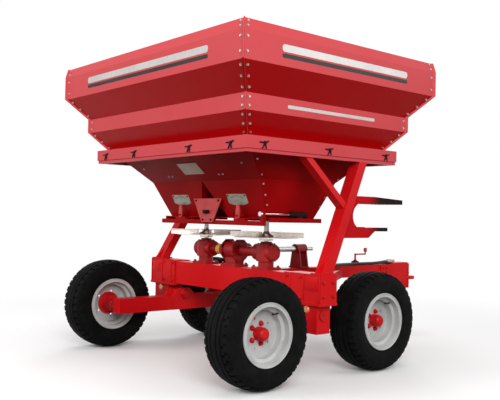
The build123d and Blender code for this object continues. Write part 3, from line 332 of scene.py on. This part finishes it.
studio = dict(floorSize=60.0, floorTone=0.94, bounceTone=0.10, worldLight=0.38, fadeStart=2.2, fadeEnd=5.5,
              lamps=[("key", (8.0, -6.0, 5.0), 4.5, 690), ("left", (-3.5, -9.0, 4.5), 4.5, 350),
                     ("top", (0.0, -1.0, 9.0), 6.0, 260), ("rim", (8.0, 6.0, 5.5), 4.0, 200),
                     ("back", (-7.0, 6.5, 5.0), 4.0, 160)])
bpy.context.scene.view_settings.view_transform = "Standard"
world = bpy.data.worlds.new("studioWorld")
bpy.context.scene.world = world
world.use_nodes = True
sky = world.node_tree
background = sky.nodes["Background"]
background.inputs["Color"].default_value = (1, 1, 1, 1)


def seenRays(tree):  # rays that show the backdrop itself, straight, mirrored or through glass
    rays = tree.nodes.new("ShaderNodeLightPath")
    seen = rays.outputs["Is Camera Ray"]
    for kind in ("Is Glossy Ray", "Is Transmission Ray"):
        either = tree.nodes.new("ShaderNodeMath")
        either.operation = "MAXIMUM"
        tree.links.new(seen, either.inputs[0])
        tree.links.new(rays.outputs[kind], either.inputs[1])
        seen = either.outputs["Value"]
    return seen


power = rangeNode(sky, seenRays(sky), studio["worldLight"], 1.0)
sky.links.new(power.outputs["Result"], background.inputs["Strength"])

floorMesh = bmesh.new()
bmesh.ops.create_grid(floorMesh, x_segments=1, y_segments=1, size=studio["floorSize"])
floorData = bpy.data.meshes.new("floor")
floorMesh.to_mesh(floorData)
floorMesh.free()
floor = bpy.data.objects.new("floor", floorData)
bpy.context.scene.collection.objects.link(floor)
floor.location.z = -0.0008
floorMat, floorTree, floorShader, floorCoords = newMaterial("paleFloor")
floorShader.inputs["Roughness"].default_value = 0.9
floorSeen = seenRays(floorTree)
tone = rangeNode(floorTree, floorSeen, studio["bounceTone"], studio["floorTone"])
floorTree.links.new(tone.outputs["Result"], floorShader.inputs["Base Color"])
distance = floorTree.nodes.new("ShaderNodeVectorMath")
distance.operation = "LENGTH"
floorTree.links.new(floorCoords.outputs["Object"], distance.inputs[0])
fade = rangeNode(floorTree, distance.outputs["Value"], 0.0, 1.0)
fade.interpolation_type = "SMOOTHSTEP"
fade.inputs["From Min"].default_value = studio["fadeStart"]
fade.inputs["From Max"].default_value = studio["fadeEnd"]
seenFade = floorTree.nodes.new("ShaderNodeMath")
seenFade.operation = "MULTIPLY"
floorTree.links.new(fade.outputs["Result"], seenFade.inputs[0])
floorTree.links.new(floorSeen, seenFade.inputs[1])
glow = floorTree.nodes.new("ShaderNodeEmission")
blend = floorTree.nodes.new("ShaderNodeMixShader")
floorTree.links.new(seenFade.outputs["Value"], blend.inputs["Fac"])
floorTree.links.new(floorShader.outputs["BSDF"], blend.inputs[1])
floorTree.links.new(glow.outputs["Emission"], blend.inputs[2])
floorTree.links.new(blend.outputs["Shader"], floorTree.nodes["Material Output"].inputs["Surface"])
floorData.materials.append(floorMat)
for lampName, place, size, watts in studio["lamps"]:  # all aim at the hopper
    lampData = bpy.data.lights.new(lampName, "AREA")
    lampData.size = size
    lampData.energy = watts
    lamp = bpy.data.objects.new(lampName, lampData)
    bpy.context.scene.collection.objects.link(lamp)
    lamp.location = place
    lamp.rotation_euler = (Vector((0, -0.6, 1.0)) - Vector(place)).to_track_quat("-Z", "Y").to_euler()
print("camera and studio set")


# Hydraulic hoses along the right stay and the drawbar

hose = dict(radius=0.012, length=2.176, gap=0.034, stayTop=0.7023, barTop=0.7283, headTop=0.730)
route = [(0.640, 0.075, 0.722), (0.640, 0.190, 0.722), (0.596, 0.330, hose["stayTop"] + 0.008),
         (0.520, 0.470, hose["stayTop"] + 0.003), (0.400, 0.640, hose["stayTop"] + 0.002),
         (0.285, 0.800, hose["stayTop"] + 0.003), (0.175, 0.950, hose["stayTop"] + 0.004),
         (0.092, 1.090, hose["barTop"]), (0.036, 1.250, hose["barTop"] + 0.003),
         (0.014, 1.430, hose["barTop"] + 0.001),
         (-0.004, 1.620, hose["barTop"] + 0.002), (0.008, 1.800, hose["barTop"] + 0.001),
         (0.002, 1.950, hose["barTop"] + 0.008), (0.0, 2.080, hose["headTop"] + 0.018)]
for number, shift in enumerate((-hose["gap"] / 2, hose["gap"] / 2)):
    points = [Vector((x + shift, midY + y, z)) for x, y, z in route]
    line = bpy.data.curves.new(f"hose_{number}", "CURVE")
    line.dimensions = "3D"
    line.bevel_depth = hose["radius"]
    line.bevel_resolution = 5
    line.use_fill_caps = True
    spline = line.splines.new("NURBS")
    spline.points.add(len(points) - 1)
    for point, place in zip(spline.points, points):
        point.co = (*place, 1)
    spline.order_u = 3
    spline.use_endpoint_u = True
    spline.resolution_u = 10
    line.materials.append(finish["hoseRubber"])
    tube = bpy.data.objects.new(f"hose_{number}", line)
    bpy.context.scene.collection.objects.link(tube)
    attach(tube, "chassis")
    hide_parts("hydraulic_hoses")
    couplerMesh = bmesh.new()
    out = (points[1] - points[0]).normalized()
    addDrum(couplerMesh, points[0], out, 0.0165, 0.0165, 0.034, 6)
    addDrum(couplerMesh, points[0] + out * 0.034, out, 0.0145, 0.0135, 0.040, 20)
    along = (points[-1] - points[-2]).normalized()
    addDrum(couplerMesh, points[-1] - along * 0.085, along, 0.0140, 0.0150, 0.040, 20)
    addDrum(couplerMesh, points[-1] - along * 0.045, along, 0.0175, 0.0175, 0.024, 6)
    addDrum(couplerMesh, points[-1] - along * 0.021, along, 0.0135, 0.0120, 0.045, 20)
    couplers = addPiece(f"hoseCouplers_{number}", couplerMesh, "zincBolt", "chassis")
print("hoses laid")


# Tyres: ribbed tread with notched shoulders

tyre = dict(steps=120, notchDepth=0.009, notchPitch=9.0, notchWidth=3.0, notchFrom=0.073, notchTo=0.1225,
            notchFloor=0.350)  # pitch and width in degrees
halfProfile = [(0.000, 0.3798), (0.021, 0.3794), (0.024, 0.3690), (0.031, 0.3686), (0.034, 0.3782),
               (0.060, 0.3754), (0.063, 0.3650), (0.070, 0.3642), (0.073, 0.3730), (0.096, 0.3690),
               (0.1170, 0.3600), (0.1230, 0.3480), (0.1268, 0.3340), (0.1296, 0.3180), (0.1308, 0.3165),
               (0.1312, 0.3010), (0.1300, 0.2990), (0.1296, 0.2780), (0.1262, 0.2560), (0.1215, 0.2400),
               (0.1190, 0.2365), (0.1150, 0.2300), (0.1110, 0.2210), (0.1105, 0.2060), (0.1100, 0.1962),
               (0.0840, 0.1962), (0.0990, 0.2200), (0.1120, 0.2900), (0.0930, 0.3390), (0.0, 0.3530)]
wheelTrim = dict(lipX=0.1170, lipR=0.2145, seamX=0.0115, seamR=0.1625, roll=0.0045, nuts=5, nutRing=0.07,
                 valve=(0.040, 0.100, 0.125), valveLean=(0.9, 0.1, 0.2))
wheels = [(f"{end}_{side}", s, Vector((s * 1.012, midY + f * 0.5935, 0.380)))
          for end, f in (("rear", -1), ("front", 1)) for side, s in sides]
for tag, s, centre in wheels:
    bm = bmesh.new()
    loop = halfProfile + [(-a, r) for a, r in halfProfile[-2:0:-1]]
    addSpun(bm, loop + [loop[0]], centre, (s, 0, 0), tyre["steps"])
    bmesh.ops.remove_doubles(bm, verts=bm.verts, dist=0.00002)
    notched = []
    for face in bm.faces:
        spot = face.calc_center_median() - centre
        reach = math.hypot(spot.y, spot.z)
        if tyre["notchFrom"] < abs(spot.x) < tyre["notchTo"] and reach > tyre["notchFloor"]:
            turn = math.degrees(math.atan2(spot.z, spot.y)) 
            turn += tyre["notchPitch"] / 2 if spot.x > 0 else 0.0
            if turn % tyre["notchPitch"] < tyre["notchWidth"]:
                notched.append(face)
    grown = bmesh.ops.extrude_face_region(bm, geom=notched)
    for vert in [g for g in grown["geom"] if isinstance(g, bmesh.types.BMVert)]:
        spot = vert.co - centre
        reach = math.hypot(spot.y, spot.z)
        vert.co -= Vector((0, spot.y, spot.z)) * (tyre["notchDepth"] / reach)
    bmesh.ops.delete(bm, geom=[f for f in notched if f.is_valid], context="FACES")
    piece = addPiece(f"tyreBody_{tag}", bm, "tyreRubber", f"wheel_{tag}", 28)
    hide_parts(f"tyre_{tag}")

    bm = bmesh.new()
    for face in (-1, 1):
        lip = [(face * wheelTrim["lipX"] + wheelTrim["roll"] * math.sin(k * math.pi / 5),
                wheelTrim["lipR"] - wheelTrim["roll"] * math.cos(k * math.pi / 5)) for k in range(11)]
        addSpun(bm, lip, centre, (1, 0, 0), 72)
    seam = [(s * wheelTrim["seamX"] + wheelTrim["roll"] * math.sin(k * math.pi / 4),
             wheelTrim["seamR"] + wheelTrim["roll"] * math.cos(k * math.pi / 4)) for k in range(9)]
    addSpun(bm, seam, centre, (1, 0, 0), 72)
    addPiece(f"rimLips_{tag}", bm, "rimEnamel", f"wheel_{tag}", 50)

    bm = bmesh.new()
    outwards = Matrix.Diagonal((s, 1, 1))
    stem = centre + outwards @ Vector(wheelTrim["valve"])
    lean = outwards @ Vector(wheelTrim["valveLean"])
    addDrum(bm, stem, lean, 0.0065, 0.0050, 0.040, 14)
    addDrum(bm, stem + Vector((s * 0.036, 0.004, 0.008)), lean, 0.0062, 0.0058, 0.014, 14)
    addPiece(f"valve_{tag}", bm, "hoseRubber", f"wheel_{tag}")

    bm = bmesh.new()
    cap = [(0.0880, 0.0001), (0.0905, 0.0120), (0.0900, 0.0240), (0.0860, 0.0320), (0.0800, 0.0345),
           (0.0700, 0.0350)]
    addSpun(bm, [(s * a, r) for a, r in cap], centre, (1, 0, 0), 40)
    for k in range(wheelTrim["nuts"]):
        around = math.radians(360 / wheelTrim["nuts"] * k)
        nut = Vector((0.010, wheelTrim["nutRing"] * math.cos(around), 0)) * s
        spot = centre + nut + Vector((0, 0, wheelTrim["nutRing"] * math.sin(around)))
        addDrum(bm, spot, (s, 0, 0), 0.0200, 0.0185, 0.004, 24)
        addDrum(bm, spot + Vector((s * 0.0165, 0, 0)), (s, 0, 0), 0.0145, 0.0105, 0.0035, 6)
    addPiece(f"hubTrim_{tag}", bm, "redCasting", f"wheel_{tag}")
print("wheels dressed")


# Hopper bolts, corner seams and plain stripes

hopper = dict(cornerX=0.221,  # how much wider than deep each half is
              folds=((0.978, 2.4315), (0.994, 2.360), (0.994, 2.166), (0.842, 1.990), (0.842, 1.874),
                     (0.708, 1.716)),
              boltAcross=0.014, boltHeight=0.009, boltPitch=0.085, boltIn=0.030)
bm = bmesh.new()
for sx in (-1, 1):
    for sy in (-1, 1):
        ridge = [Vector((sx * (half + hopper["cornerX"]), hopperY + sy * half, z))
                 for half, z in hopper["folds"]]
        for out, slide in ((Vector((sx, 0, 0)), Vector((0, -sy, 0))),
                           (Vector((0, sy, 0)), Vector((-sx, 0, 0)))):
            for lower, upper in zip(ridge[1:], ridge):
                count = max(2, round((upper - lower).length / hopper["boltPitch"]))
                lean = (upper - lower).cross(slide).normalized()
                lean = lean if lean.dot(out) > 0 else -lean
                for k in range(count):
                    spot = lower.lerp(upper, (k + 0.5) / count) + slide * hopper["boltIn"]
                    addBolt(bm, spot + lean * 0.0002, lean, hopper["boltAcross"], hopper["boltHeight"])
addPiece("cornerBolts", bm, "zincBolt", "chassis")

rail = dict(outX=1.0205, outY=0.7905, low=1.629, high=1.716, across=0.015, height=0.012)
railZ = (rail["low"] + rail["high"]) / 2
bm = bmesh.new()
spots = []
for x in (-0.859, -0.400, 0.367, 0.854):
    for sy in (-1, 1):
        spots.append((Vector((x, hopperY + sy * rail["outY"], railZ)), Vector((0, sy, 0))))
for y in (-0.628, 0.013, 0.658):
    for sx in (-1, 1):
        spots.append((Vector((sx * rail["outX"], hopperY + y, railZ)), Vector((sx, 0, 0))))
for spot, out in spots:
    addBolt(bm, spot, out, rail["across"], rail["height"], 1.7)
addPiece("railBolts", bm, "darkSatin", "chassis")

bm = bmesh.new()
for spot, out in spots:
    across = Vector((0, 0, 1)).cross(out)
    for turn, length in ((20, 0.030), (178, 0.046), (238, 0.044), (284, 0.038)):
        reach = across * math.cos(math.radians(turn)) + Vector((0, 0, 1)) * math.sin(math.radians(turn))
        addDrum(bm, spot + reach * 0.004 + out * 0.005, reach, 0.0060, 0.0040, length, 8)
addPiece("railClips", bm, "darkSatin", "chassis")

stripes = dict(thick=0.0008, longHalf=0.84, sideHalf=0.66, bandHalf=0.46, pale=(2.262, 2.312),
               black=(2.222, 2.250), band=(1.920, 1.944))  # heights of the lower and upper edges


def addStripe(name, mat, wall, reachHalf, low, high, slotName):
    bm = bmesh.new()
    out = {"rear": Vector((0, -1, 0)), "front": Vector((0, 1, 0)), "right": Vector((1, 0, 0)),
           "left": Vector((-1, 0, 0))}[wall]
    along = Vector((0, 0, 1)).cross(out)
    half = hopper["folds"][1][0] if low > 2.1 else hopper["folds"][3][0]
    reach = half + (hopper["cornerX"] if wall in ("left", "right") else 0.0)
    base = Vector((0, hopperY, 0)) + out * (reach + 0.0002)
    corners = [(-reachHalf, low), (reachHalf, low), (reachHalf, high), (-reachHalf, high)]
    face = bm.faces.new([bm.verts.new(base + along * a + Vector((0, 0, z))) for a, z in corners])
    bmesh.ops.bevel(bm, geom=list(face.verts), offset=(high - low) * 0.42, affect="VERTICES", segments=5,
                    profile=0.5, material=-1)
    made = bmesh.ops.extrude_face_region(bm, geom=list(bm.faces))
    bmesh.ops.translate(bm, verts=[g for g in made["geom"] if isinstance(g, bmesh.types.BMVert)],
                        vec=out * stripes["thick"])
    return addPiece(name, bm, mat, "chassis")


for wall in ("rear", "front"):
    addStripe(f"stripePale_{wall}", "paleFilm", wall, stripes["longHalf"], *stripes["pale"], "rim_paint")
    addStripe(f"stripeBlack_{wall}", "blackFilm", wall, stripes["longHalf"], *stripes["black"], "dark_paint")
for wall in ("left", "right"):
    addStripe(f"stripePale_{wall}", "paleFilm", wall, stripes["sideHalf"], *stripes["pale"], "rim_paint")
    addStripe(f"stripeBlack_{wall}", "blackFilm", wall, stripes["sideHalf"], *stripes["black"], "dark_paint")
    addStripe(f"stripeBand_{wall}", "paleFilm", wall, stripes["bandHalf"], *stripes["band"], "rim_paint")
print("hopper dressed")


# Plates, console and scales at the back

backPlates = dict(throatZ=1.445, floorZ=1.160, throatY=0.400, outletY=0.260, railZ=1.716, railHalf=0.708)


def baseFace(z):
    share = (z - backPlates["throatZ"]) / (backPlates["railZ"] - backPlates["throatZ"])
    return hopperY - (backPlates["throatY"] + (backPlates["railHalf"] - backPlates["throatY"]) * share)


def funnelFace(z):
    share = (z - backPlates["floorZ"]) / (backPlates["throatZ"] - backPlates["floorZ"])
    return hopperY - (backPlates["outletY"] + (backPlates["throatY"] - backPlates["outletY"]) * share)


def addSlab(bm, outline, depth, edge):
    face = bm.faces.new([bm.verts.new(Vector(p)) for p in outline])
    face.normal_update()
    normal = face.normal.copy()
    bmesh.ops.bevel(bm, geom=list(face.verts), offset=edge, affect="VERTICES", segments=4, profile=0.5,
                    material=-1)
    made = bmesh.ops.extrude_face_region(bm, geom=[f for f in bm.faces if abs(f.normal.dot(normal)) > 0.99])
    bmesh.ops.translate(bm, verts=[g for g in made["geom"] if isinstance(g, bmesh.types.BMVert)],
                        vec=Vector(depth))


blank = dict(low=1.499, high=1.580, left=-0.138, right=0.122, lift=0.0005, depth=(0, -0.003, -0.002))
bm = bmesh.new()
rim = [(blank["left"], blank["low"]), (blank["right"], blank["low"]), (blank["right"], blank["high"]),
       (blank["left"], blank["high"])]
addSlab(bm, [(x, baseFace(z) - blank["lift"], z) for x, z in rim], blank["depth"], 0.006)
addPiece("blankPlate", bm, "blankPlate", "chassis")

baseBolt = dict(rear=((-0.395, 1.490), (-0.338, 1.490), (0.292, 1.490), (0.340, 1.490), (-0.66, 1.56),
                      (0.66, 1.56)),
                rearLean=(0, -1, -1.137), sideShares=(0.12, 0.50, 0.88),
                funnelShares=(0.34, 0.60, 0.88))  # the funnel's stay clear of the sliding gate bar
bm = bmesh.new()
for x, z in baseBolt["rear"]:
    addBolt(bm, Vector((x, baseFace(z), z)), baseBolt["rearLean"], *boltSizes["seam"])
for sx in (-1, 1):
    for sy in (-1, 1):
        for share in baseBolt["sideShares"]:
            spot = Vector((sx * (0.715 + 0.214 * share), hopperY + sy * (0.370 + 0.308 * share),
                           backPlates["throatZ"] + 0.271 * share))
            addBolt(bm, spot, (sx, 0, -0.79), *boltSizes["sheet"])
        for share in baseBolt["funnelShares"]:
            spot = Vector((sx * (0.640 + 0.075 * share), hopperY + sy * (0.235 + 0.140 * share),
                           backPlates["floorZ"] + 0.285 * share))
            addBolt(bm, spot, (sx, 0, -0.33), *boltSizes["sheet"])
addPiece("baseBolts", bm, "zincBolt", "chassis")

console = dict(back=midY - 0.275, thick=0.008, topHalf=0.188, lowHalf=0.075, topZ=1.307, lowZ=1.116)
bm = bmesh.new()
face = console["back"] + console["thick"] / 2
addSlab(bm, [(-console["lowHalf"], face, console["lowZ"]), (console["lowHalf"], face, console["lowZ"]),
             (console["topHalf"], face, console["topZ"]), (-console["topHalf"], face, console["topZ"])],
        (0, -console["thick"], 0), 0.010)
consolePiece = addPiece("consolePlate", bm, "sheenRed", "chassis")
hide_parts("dosing_plates")

scale = dict(middle=0.375, width=0.235, height=0.092, z=1.298, thick=0.003)
fall = (backPlates["throatY"] - backPlates["outletY"]) / (backPlates["throatZ"] - backPlates["floorZ"])
climb = Vector((0, -fall, 1)).normalized()
outward = Vector((0, -1, -fall)).normalized()
for side, s in sides:
    bm = bmesh.new()
    heart = Vector((s * scale["middle"], funnelFace(scale["z"]), scale["z"])) + outward * 0.0003
    shape = [(-0.5, -1 / 3), (-0.25, -0.5), (0.25, -0.5), (0.5, -1 / 3), (0.5, 0.5), (-0.5, 0.5)]
    outline = [heart + Vector((a * scale["width"], 0, 0)) + climb * (b * scale["height"]) for a, b in shape]
    addSlab(bm, outline, outward * scale["thick"], 0.005)
    addPiece(f"scalePlate_{side}", bm, "scalePlate", "chassis")
    bm = bmesh.new()
    markFace = heart + outward * (scale["thick"] + 0.0002)
    for k in range(11):
        swing = math.radians(-50 + 10 * k)
        reach = 0.052 if k % 5 == 0 else 0.046
        across = Vector((math.sin(swing) * 0.075, 0, 0))
        first = markFace + across + climb * (math.cos(swing) * 0.036 - 0.010)
        second = markFace + across * (reach / 0.036) + climb * (math.cos(swing) * reach - 0.010)
        addDrum(bm, first, second - first, 0.0016, 0.0016, (second - first).length, 6)
    for a in (-0.44, 0.44):
        screw = heart + Vector((a * scale["width"], 0, 0)) + climb * 0.034 + outward * scale["thick"]
        addBolt(bm, screw, outward, *boltSizes["scale"])
    addPiece(f"scaleMarks_{side}", bm, "blackFilm", "chassis")

bm = bmesh.new()
for x, z in ((-0.150, 1.290), (0.150, 1.290), (-0.055, 1.135), (0.055, 1.135)):
    addBolt(bm, Vector((x, console["back"] - console["thick"] / 2, z)), (0, -1, 0), *boltSizes["console"])
addBlock(bm, (-0.035, console["back"] - 0.026, 1.185), (0.035, console["back"] - 0.004, 1.215), 0.005)
addDrum(bm, Vector((0.020, console["back"] - 0.026, 1.200)), (0, -1, 0), 0.010, 0.009, 0.020, 16)
addPiece("consoleCatch", bm, "darkSatin", "chassis")
print("plates dressed")


# Gearboxes: cover bolts, ribs and plugs

drive = dict(z=0.885, discX=0.397, beamTop=0.751)
box = dict(ring=0.054, outerFace=0.095, innerFace=0.110, lidRing=0.064, lidLift=0.065, footX=0.080,
           footY=0.058, footLift=0.018, centreRing=0.078, centreFace=0.082)
footZ = drive["beamTop"] + box["footLift"]
bm = bmesh.new()
for side, s in sides:
    x = s * drive["discX"]
    for k in range(6):
        around = math.radians(60 * k + 30)
        ring = Vector((0, box["ring"] * math.cos(around), box["ring"] * math.sin(around)))
        outer = Vector((x + s * box["outerFace"], driveY, drive["z"]))
        inner = Vector((x - s * box["innerFace"], driveY, drive["z"]))
        addBolt(bm, outer + ring, (s, 0, 0), *boltSizes["cover"])
        addBolt(bm, inner + ring, (-s, 0, 0), *boltSizes["cover"])
    for bx in (-box["footX"], box["footX"]):
        for by in (-box["footY"], box["footY"]):
            addBolt(bm, Vector((x + bx, driveY + by, footZ)), (0, 0, 1), *boltSizes["foot"])
    for k in range(8):
        around = math.radians(45 * k)
        ring = Vector((box["lidRing"] * math.cos(around), box["lidRing"] * math.sin(around), 0))
        lid = Vector((x, driveY, drive["z"] + box["lidLift"]))
        addBolt(bm, lid + ring, (0, 0, 1), *boltSizes["lid"])
for s in (-1, 1):
    for k in range(8):
        around = math.radians(45 * k + 22.5)
        ring = Vector((0, box["centreRing"] * math.cos(around), box["centreRing"] * math.sin(around)))
        face = Vector((s * box["centreFace"], driveY, drive["z"]))
        addBolt(bm, face + ring, (s, 0, 0), *boltSizes["cover"])
    for by in (-box["footY"], box["footY"]):
        addBolt(bm, Vector((s * box["footX"], driveY + by, footZ)), (0, 0, 1), *boltSizes["foot"])
addPiece("gearboxBolts", bm, "shadedDriveRed", "chassis")

bm = bmesh.new()
for side, s in sides:
    x = s * drive["discX"]
    for k in range(6):
        around = math.radians(60 * k)
        out = Vector((math.cos(around), math.sin(around), 0))
        foot = Vector((x, driveY, drive["z"] - 0.062)) + out * 0.074
        addDrum(bm, foot, (0, 0, 1), 0.0075, 0.0060, 0.118, 10)
for s in (-1, 1):
    for k in range(8):
        around = math.radians(45 * k + 22.5)
        lobe = Vector((s * 0.066, driveY + 0.080 * math.cos(around), drive["z"] + 0.080 * math.sin(around)))
        addDrum(bm, lobe, (s, 0, 0), 0.0155, 0.0150, 0.0158, 20)
addPiece("gearboxRibs", bm, "shadedDriveRed", "chassis")

guard = dict(x=-0.188, width=0.050, inner=0.0185, outer=0.044)
bm = bmesh.new()
near, far = guard["x"] - guard["width"] / 2, guard["x"] + guard["width"] / 2
ring = [(near, guard["inner"]), (near, guard["outer"] - 0.003), (near + 0.003, guard["outer"]),
        (far - 0.003, guard["outer"]), (far, guard["outer"] - 0.003), (far, guard["inner"]),
        (near, guard["inner"])]
addSpun(bm, ring, (0, driveY, drive["z"]), (1, 0, 0), 40)
addPiece("shaftCollar", bm, "yellowGuard", "cross_drive")

sleeve = dict(reaches=((-0.285, -0.220), (-0.156, -0.094), (0.086, 0.285)), inner=0.0225, outer=0.040,
              collar=0.046, collarWidth=0.014)
bm = bmesh.new()
for near, far in sleeve["reaches"]:
    wide = sleeve["collarWidth"]
    tube = [(near, sleeve["inner"]), (near, sleeve["collar"]), (near + wide, sleeve["collar"]),
            (near + wide, sleeve["outer"]), (far - wide, sleeve["outer"]), (far - wide, sleeve["collar"]),
            (far, sleeve["collar"]), (far, sleeve["inner"]), (near, sleeve["inner"])]
    addSpun(bm, tube, (0, driveY, drive["z"]), (1, 0, 0), 40)
addPiece("shaftSleeves", bm, "shadedDriveRed", "chassis")

for side, s in sides:
    bm = bmesh.new()
    x = s * drive["discX"]
    cone = [(1.0066, 0.074), (1.0105, 0.072), (1.030, 0.034), (1.048, 0.0235), (1.060, 0.0215),
            (1.060, 0.0202), (1.0066, 0.0202), (1.0066, 0.074)]
    addSpun(bm, cone, (x, driveY, 0), (0, 0, 1), 48)
    for k in range(4):
        around = math.radians(90 * k + 20)
        lean = around + math.radians(12)
        forward = Vector((s * math.cos(lean), math.sin(lean), 0))
        root = Vector((x + s * 0.07 * math.cos(around), driveY + 0.07 * math.sin(around), 0))
        across = Vector((s * math.sin(lean), -math.cos(lean), 0))
        for reach in (0.045, 0.150):
            spot = root + forward * reach + across * 0.018
            addBolt(bm, Vector((spot.x, spot.y, 1.0096)), (0, 0, 1), *boltSizes["console"])
    addPiece(f"discTrim_{side}", bm, "stainlessSheet", f"disc_{side}")
print("drive dressed")


# Chassis trim: bands, pressed panels, reflectors, bolts and weld seams

chassis = dict(sleeveOut=1.104, top=0.759, low=0.543, halfY=0.083, bands=(0.730, 0.786, 0.928, 1.096))
bm = bmesh.new()
for side, s in sides:
    for x in chassis["bands"]:
        for sy in (-1, 1):
            face = midY + sy * chassis["halfY"]
            addBlock(bm, (s * x - 0.006, face - 0.0005, chassis["low"] + 0.004),
                     (s * x + 0.006, face + sy * 0.006, chassis["top"] - 0.002), 0.002)
    for sy in (-1, 1):
        face = midY + sy * chassis["halfY"]
        addBlock(bm, (s * 0.945, face, 0.642), (s * 1.078, face + sy * 0.005, 0.738), 0.0024, 3)
        addBlock(bm, (s * 0.962, face + sy * 0.005, 0.658), (s * 1.061, face + sy * 0.008, 0.722), 0.0014, 3)
addPiece("sleeveBands", bm, "redEnamel", "chassis")

bm = bmesh.new()
for side, s in sides:
    for sy in (-1, 1):
        face = midY + sy * chassis["halfY"]
        for z in (0.575, 0.735):
            for x in (0.758, 0.900):
                addBolt(bm, Vector((s * x, face, z)), (0, sy, 0), *boltSizes["plate"])
    for z in (0.600, 0.700):
        for y in (-0.050, 0.050):
            addBolt(bm, Vector((s * chassis["sleeveOut"], midY + y, z)), (s, 0, 0), *boltSizes["plate"])
addPiece("sleeveBolts", bm, "redCasting", "chassis")

bm = bmesh.new()
for side, s in sides:
    spot = Vector((s * 0.957, midY - 0.068, 0.502))
    addDrum(bm, spot, (0, -1, 0), 0.027, 0.027, 0.006, 32)
    addDrum(bm, spot + Vector((0, -0.006, 0)), (0, -1, 0), 0.024, 0.020, 0.005, 32)
addPiece("reflectors", bm, "orangeLens", "chassis")

legFoot = dict(x=1.051, y=0.005, z=0.770, halfX=0.050, halfY=0.043, bead=0.0055)
bm = bmesh.new()
for side, s in sides:
    legX, legY = s * legFoot["x"], midY + legFoot["y"]
    for sx in (-1, 1):
        for sy in (-1, 1):
            corner = Vector((legX + sx * legFoot["halfX"], legY + sy * legFoot["halfY"], legFoot["z"]))
            if sx == 1:
                addBead(bm, corner, (legX - sx * legFoot["halfX"], corner.y, corner.z), legFoot["bead"])
            if sy == 1:
                addBead(bm, corner, (corner.x, legY - sy * legFoot["halfY"], corner.z), legFoot["bead"])
    for sy in (-1, 1):
        addBead(bm, (s * 0.838, midY + sy * 0.068, 0.532), (s * 1.057, midY + sy * 0.068, 0.532), 0.006)
    addBead(bm, (s * 1.057, midY - 0.068, 0.532), (s * 1.057, midY + 0.068, 0.532), 0.006)
    addBead(bm, (s * 1.101, midY - 0.083, 0.758), (s * 0.722, midY - 0.083, 0.758), 0.004)
    addBead(bm, (s * 0.722, midY - 0.083, 0.545), (s * 0.722, midY - 0.083, 0.757), 0.005)
addPiece("chassisWelds", bm, "weldRed", "chassis", 60)

for side, s in sides:
    bm = bmesh.new()
    for f in (-1, 1):
        hubY = midY + f * 0.5935
        for k in range(24):
            a0, a1 = (math.radians(15 * (k + j)) for j in (0, 1))
            addBead(bm, (s * 0.811, hubY + 0.049 * math.cos(a0), 0.38 + 0.049 * math.sin(a0)),
                    (s * 0.811, hubY + 0.049 * math.cos(a1), 0.38 + 0.049 * math.sin(a1)), 0.005)
        addBead(bm, (s * 0.8185, midY + f * 0.133, 0.320), (s * 0.8185, midY + f * 0.133, 0.440), 0.004)
    addPiece(f"rockerWelds_{side}", bm, "weldRed", f"rocker_{side}", 60)

head = dict(half=0.062, plateY=(1.890, 1.935), plateZ=(0.640, 0.685), flangeY=2.272, tongueY=2.312)
bm = bmesh.new()
for sx in (-1, 1):
    for y in head["plateY"]:
        for z in head["plateZ"]:
            addBolt(bm, Vector((sx * head["half"], midY + y, z)), (sx, 0, 0), *boltSizes["plate"])
    for z in (0.495, 0.530, 0.565, 0.600, 0.635, 0.670):
        flangeSpot = Vector((sx * head["half"], midY + head["flangeY"], z))
        addBolt(bm, flangeSpot, (sx, 0, 0), *boltSizes["flange"])
for z in (0.515, 0.619):
    for x in (-0.030, 0.030):
        addBolt(bm, Vector((x, midY + head["tongueY"], z)), (0, 1, 0), *boltSizes["tongue"])
addPiece("headBolts", bm, "redCasting", "chassis")

jack = dict(x=-0.095, y=midY + 1.640, arm=0.150)
bm = bmesh.new()
grip = [(0.838, 0.0001), (0.838, 0.0155), (0.844, 0.0172), (0.862, 0.0165), (0.874, 0.0172), (0.8768, 0.0150),
        (0.8768, 0.0001)]
addSpun(bm, grip, (jack["x"], jack["y"] + jack["arm"], 0), (0, 0, 1), 32)
addPiece("crankGrip", bm, "sheenRed", "jack_crank")

treads = dict(runs=((0.480, 0.994, 1.295), (0.446, 0.808, 1.076)), rows=(0.765, 0.815, 0.865, 0.915),
              pitch=0.045)
bm = bmesh.new()
for y0, y1, z in treads["runs"]:
    for x in treads["rows"]:
        for k in range(int((y1 - y0) / treads["pitch"]) - 1):
            spot = Vector((x, midY + y0 + treads["pitch"] * (k + 1), z))
            addDrum(bm, spot, (0, 0, 1), 0.0085, 0.0065, 0.0035, 10)
addPiece("stepStuds", bm, "darkSatin", "chassis")
print("chassis dressed")


print("pieces done")
